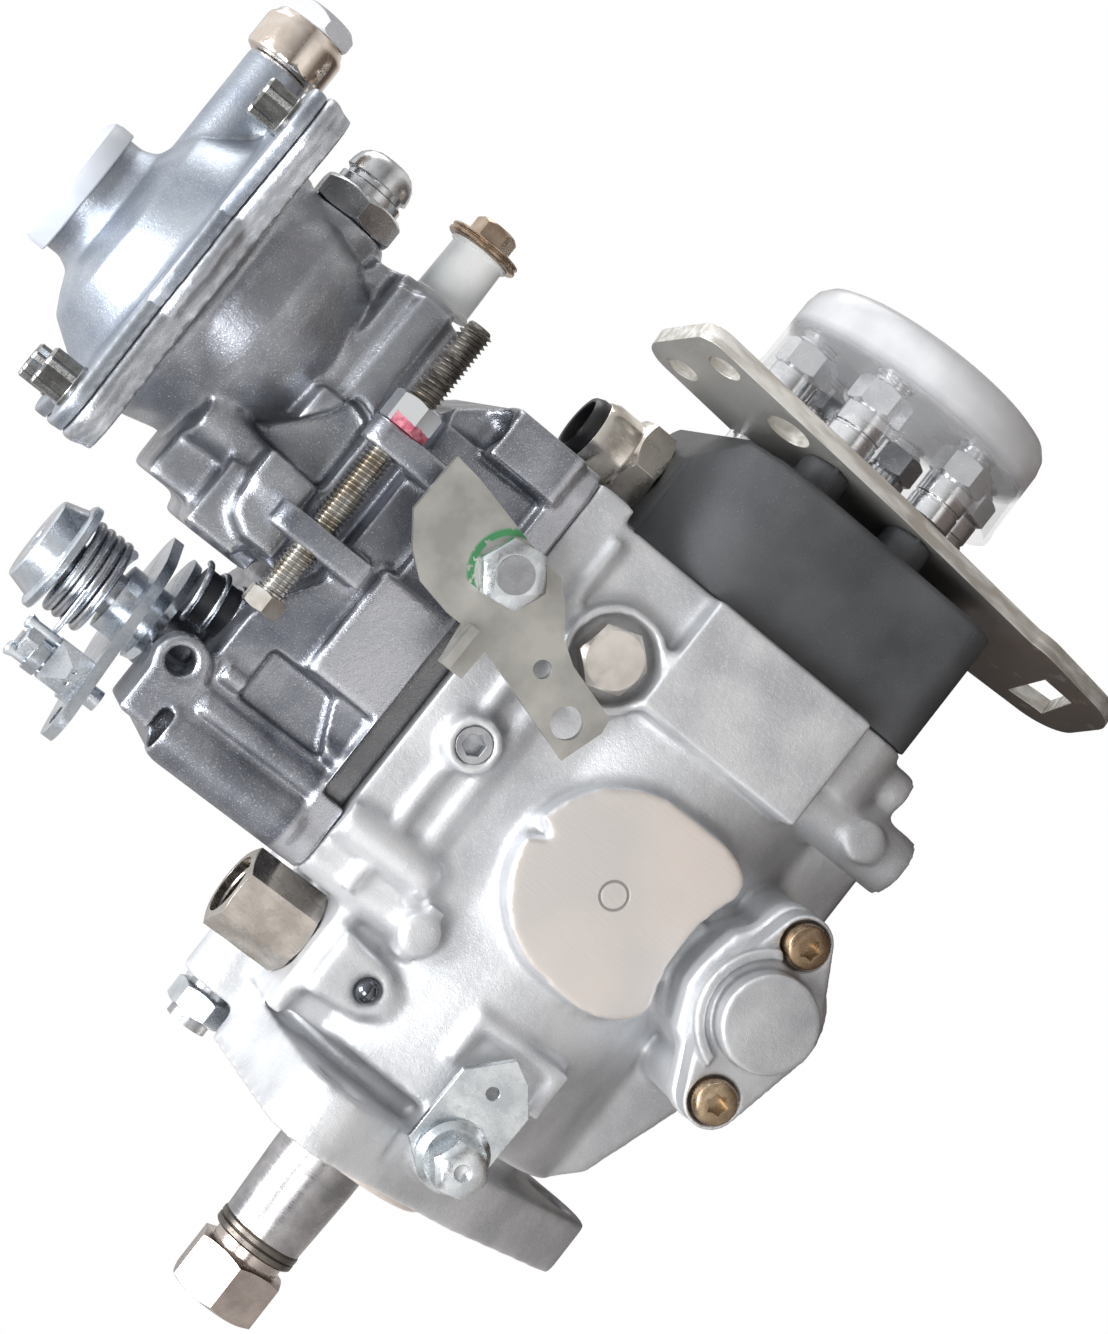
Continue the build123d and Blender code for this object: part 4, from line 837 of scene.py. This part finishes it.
VALVE_RING_R = 25
holders = []
for number in range(6):
    angle = math.radians(30 + 60 * number)
    body = turned("valve_holder", [(168, 4.55), (186.2, 4.55), (186.2, 5.6), (186.6, 6), (190.4, 6),
                                   (190.7, 5.7), (191.2, 5.7), (191.5, 6), (196.2, 6), (196.6, 5.4),
                                   (196.9, 5.4)])
    nut = stand(hexagon("valve_hexagon", 12.2, 6.6, 0, 0.08), (0, 0, 196.8), "z", 8)
    nose = turned("valve_nose", [(203.3, 5.0), (204.2, 5.0), (204.5, 4.4), (205.2, 4.4), (205.5, 5),
                                 (206.2, 5), (206.5, 4.6)])
    joined(crisp(body, 0.06), nut, crisp(nose, 0.05))
    on_ring = (0, VALVE_RING_R * math.cos(angle), VALVE_RING_R * math.sin(angle))
    holders.append(stand(body, on_ring, "x"))
holder_set = joined(*holders)
fit(holder_set, "valve_holders", "housing",
    metal_finish("holder_plate", tint(240, 241, 242), tint(216, 218, 222), 0.16, 0.5))

outlet = turned("outlet_cover", [(193.5, 32.3), (193.5, 33.2), (193.7, 33.4), (195.4, 33.4), (195.8, 33.1),
                                 (212.5, 32.9), (215.4, 32.2), (217.4, 30.6), (218.3, 28.4), (218.4, 24),
                                 (218.0, 23.4), (217.6, 22.4), (217.6, 8), (217.2, 7), (216.6, 7),
                                 (216.6, 22), (216.6, 28.4), (212.5, 31.7), (193.5, 32.3)], 96)
cap_web = turned("cover_web", [(205, 32.2), (206.2, 32.2), (206.2, 1), (205, 1), (205, 32.2)], 96)
stand(joined(outlet, cap_web), (0, 0, 0), "x")
bpy.ops.object.shade_smooth_by_angle(angle=math.radians(35))
cap_plastic, place = blank_finish("milky_cap")
milk = place.part(0).spread(205.5 * MM, 208.5 * MM)
flow = place.clouds(14, 3)
fit(outlet, "outlet_cap", "housing", shade(
    cap_plastic,
    Base_Color=flow.mix(tint(218, 220, 224), tint(232, 233, 236)),
    Roughness=flow.spread(0, 1, 0.16, 0.28),
    Alpha=milk * 0.7 + 0.09 + flow * 0.05,
    Normal=place.noise(3, 2).bump(0.05)))

# Return port: a stepped hexagon adapter on the head, closed by an open black plastic plug.
# The adapter is nickel plated, with a bronze tint.

PORT_X = 156.2
bronze_nickel = metal_finish(
    "bronze_tinted_nickel", tint(228, 222, 213), tint(206, 198, 188), 0.2, 0.5, (1, 1, 0.3))
adapter = hexagon("port_lower", 21, 8.1, 6.0, 0.09)
shoulder = turned("port_upper", [(8, 7.2), (8, 9.2), (14.6, 9.2), (16.9, 8.2), (16.9, 7.2), (8, 7.2)], 64)
port_stem = turned("port_stem", [(-10.3, 5.05), (-10.3, 6.95), (0.1, 6.95), (0.1, 5.05), (-10.3, 5.05)])
stand(joined(adapter, crisp(shoulder, 0.15), port_stem), (PORT_X, 0, 38.3), "z")
fit(adapter, "port_adapter", "housing", bronze_nickel)
port_plug = turned("port_plug_cup", [(47.4, 7.15), (55.3, 7.15), (55.3, 7.9), (56.6, 7.9), (58.2, 7.2),
                                     (58.5, 6.9), (58.3, 6.2), (57.6, 6), (49.3, 6), (49.3, 0.5)], 48)
stand(port_plug, (PORT_X, 0, 0), "z")
bpy.ops.object.shade_smooth_by_angle(angle=math.radians(35))
fit(port_plug, "port_plug", "housing",
    plastic_finish("black_plug_plastic", tint(44, 45, 48), tint(30, 31, 34), 0.35))

# Studio: a floor just under the pump, soft light from above, in front and behind, and a white surround.
# The camera sees the floor as plain white. For light and reflections its colour is a painted shadow, dark
# close to the pump and pale further out, and further out it also glows a little in reflections, a painted
# reflection.
# The camera looks a little down on the pump's side and is rolled, so the picture shows the pump tilted.

FLOOR_GAP = 0.0005
floor_z = cad_box[0][2] - FLOOR_GAP
bpy.ops.object.select_all(action="DESELECT")
bpy.ops.mesh.primitive_plane_add(size=8, location=(0.1, 0, floor_z))
floor = bpy.context.object
floor.name = "studio_floor"
floor_paint, place = blank_finish("studio_floor_paint")
beyond_painted_floor_shade = place.far_from((100, 0, floor_z / MM), (1, 1, 0)).spread(0.14, 0.36)
# The floor's colour is a painted shadow: dark near the pump, pale further out.
shade(floor_paint, Base_Color=beyond_painted_floor_shade.mix((0.09, 0.07, 0.06, 1), (0.62, 0.6, 0.58, 1)), Roughness=0.8)
seen = place.node("ShaderNodeLightPath", {}, {}, "Is Camera Ray")
mirrored = place.node("ShaderNodeLightPath", {}, {}, "Is Glossy Ray")
tree = floor_paint.node_tree
glow = tree.nodes.new("ShaderNodeEmission")
glow.inputs["Color"].default_value = (1, 1, 1, 1)
glow.inputs["Strength"].default_value = 1.0
blend = tree.nodes.new("ShaderNodeMixShader")
# Past the painted shadow the floor glows a little for reflections: a painted reflection.
tree.links.new((seen + mirrored * beyond_painted_floor_shade * 0.2).socket, blend.inputs[0])
tree.links.new(tree.nodes["Principled BSDF"].outputs[0], blend.inputs[1])
tree.links.new(glow.outputs[0], blend.inputs[2])
tree.links.new(blend.outputs[0], tree.nodes["Material Output"].inputs[0])
floor.data.materials.append(floor_paint)

world = bpy.data.worlds.new("studio_surround")
bpy.context.scene.world = world
world.use_nodes = True
tree = world.node_tree
sky = tree.nodes["Background"]
way = Field(tree, tree.nodes.new("ShaderNodeTexCoord").outputs["Generated"])
camera_ray = way.node("ShaderNodeLightPath", {}, {}, "Is Camera Ray")
glossy_ray = way.node("ShaderNodeLightPath", {}, {}, "Is Glossy Ray")
height = way.part(2).spread(-0.25, 0.75)
depth = way.part(1).spread(-0.6, 0.6)
room = (height * 0.75 + depth * 0.25).spread(0.1, 0.85, 0.14, 1.05)
strength = camera_ray + (1 - camera_ray) * (glossy_ray * room + (1 - glossy_ray) * 0.4)
tree.links.new(strength.socket, sky.inputs["Strength"])
warm = glossy_ray * height.spread(0.05, 0.5, 1, 0)
tree.links.new(warm.mix((1, 1, 1, 1), (1.0, 0.86, 0.78, 1)).socket, sky.inputs["Color"])

PUMP_MIDDLE = Vector((0.09, 0, 0.04))


def soft_light(name, place, power):
    """A square lamp at a place in metres, turned to the pump."""
    lamp = bpy.data.lights.new(name, "AREA")
    lamp.shape = "SQUARE"
    lamp.size = 0.6
    lamp.energy = power
    holder = bpy.data.objects.new(name, lamp)
    bpy.context.scene.collection.objects.link(holder)
    holder.location = place
    holder.rotation_euler = (PUMP_MIDDLE - Vector(place)).to_track_quat("-Z", "Y").to_euler()


soft_light("top_light", (-0.25, -0.3, 1.1), 16)
soft_light("near_light", (-0.5, -1.0, 0.5), 8)
soft_light("rear_light", (0.9, 0.5, 0.5), 3)

AIM = Vector((0.1106, 0, 0.0278))
FORWARD = Vector((0.04213, 0.96501, -0.25882)).normalized()
DISTANCE = 0.600
ROLL = math.radians(51.2)
LONG_SIDE = 1334
FOCAL = 2670
SENSOR = 36
level_right = FORWARD.cross(Vector((0, 0, 1))).normalized()
level_up = level_right.cross(FORWARD)
up = level_up * math.cos(ROLL) + level_right * math.sin(ROLL)
right = level_right * math.cos(ROLL) - level_up * math.sin(ROLL)
lens = bpy.data.cameras.new("photo_camera")
lens.sensor_width = SENSOR
lens.lens = FOCAL / LONG_SIDE * SENSOR
lens.clip_start = 0.01
camera = bpy.data.objects.new("photo_camera", lens)
bpy.context.scene.collection.objects.link(camera)
turn = Matrix((right, up, -FORWARD)).transposed().to_4x4()
camera.matrix_world = Matrix.Translation(AIM - FORWARD * DISTANCE) @ turn
bpy.context.scene.camera = camera
bpy.context.scene.view_settings.view_transform = "Standard"
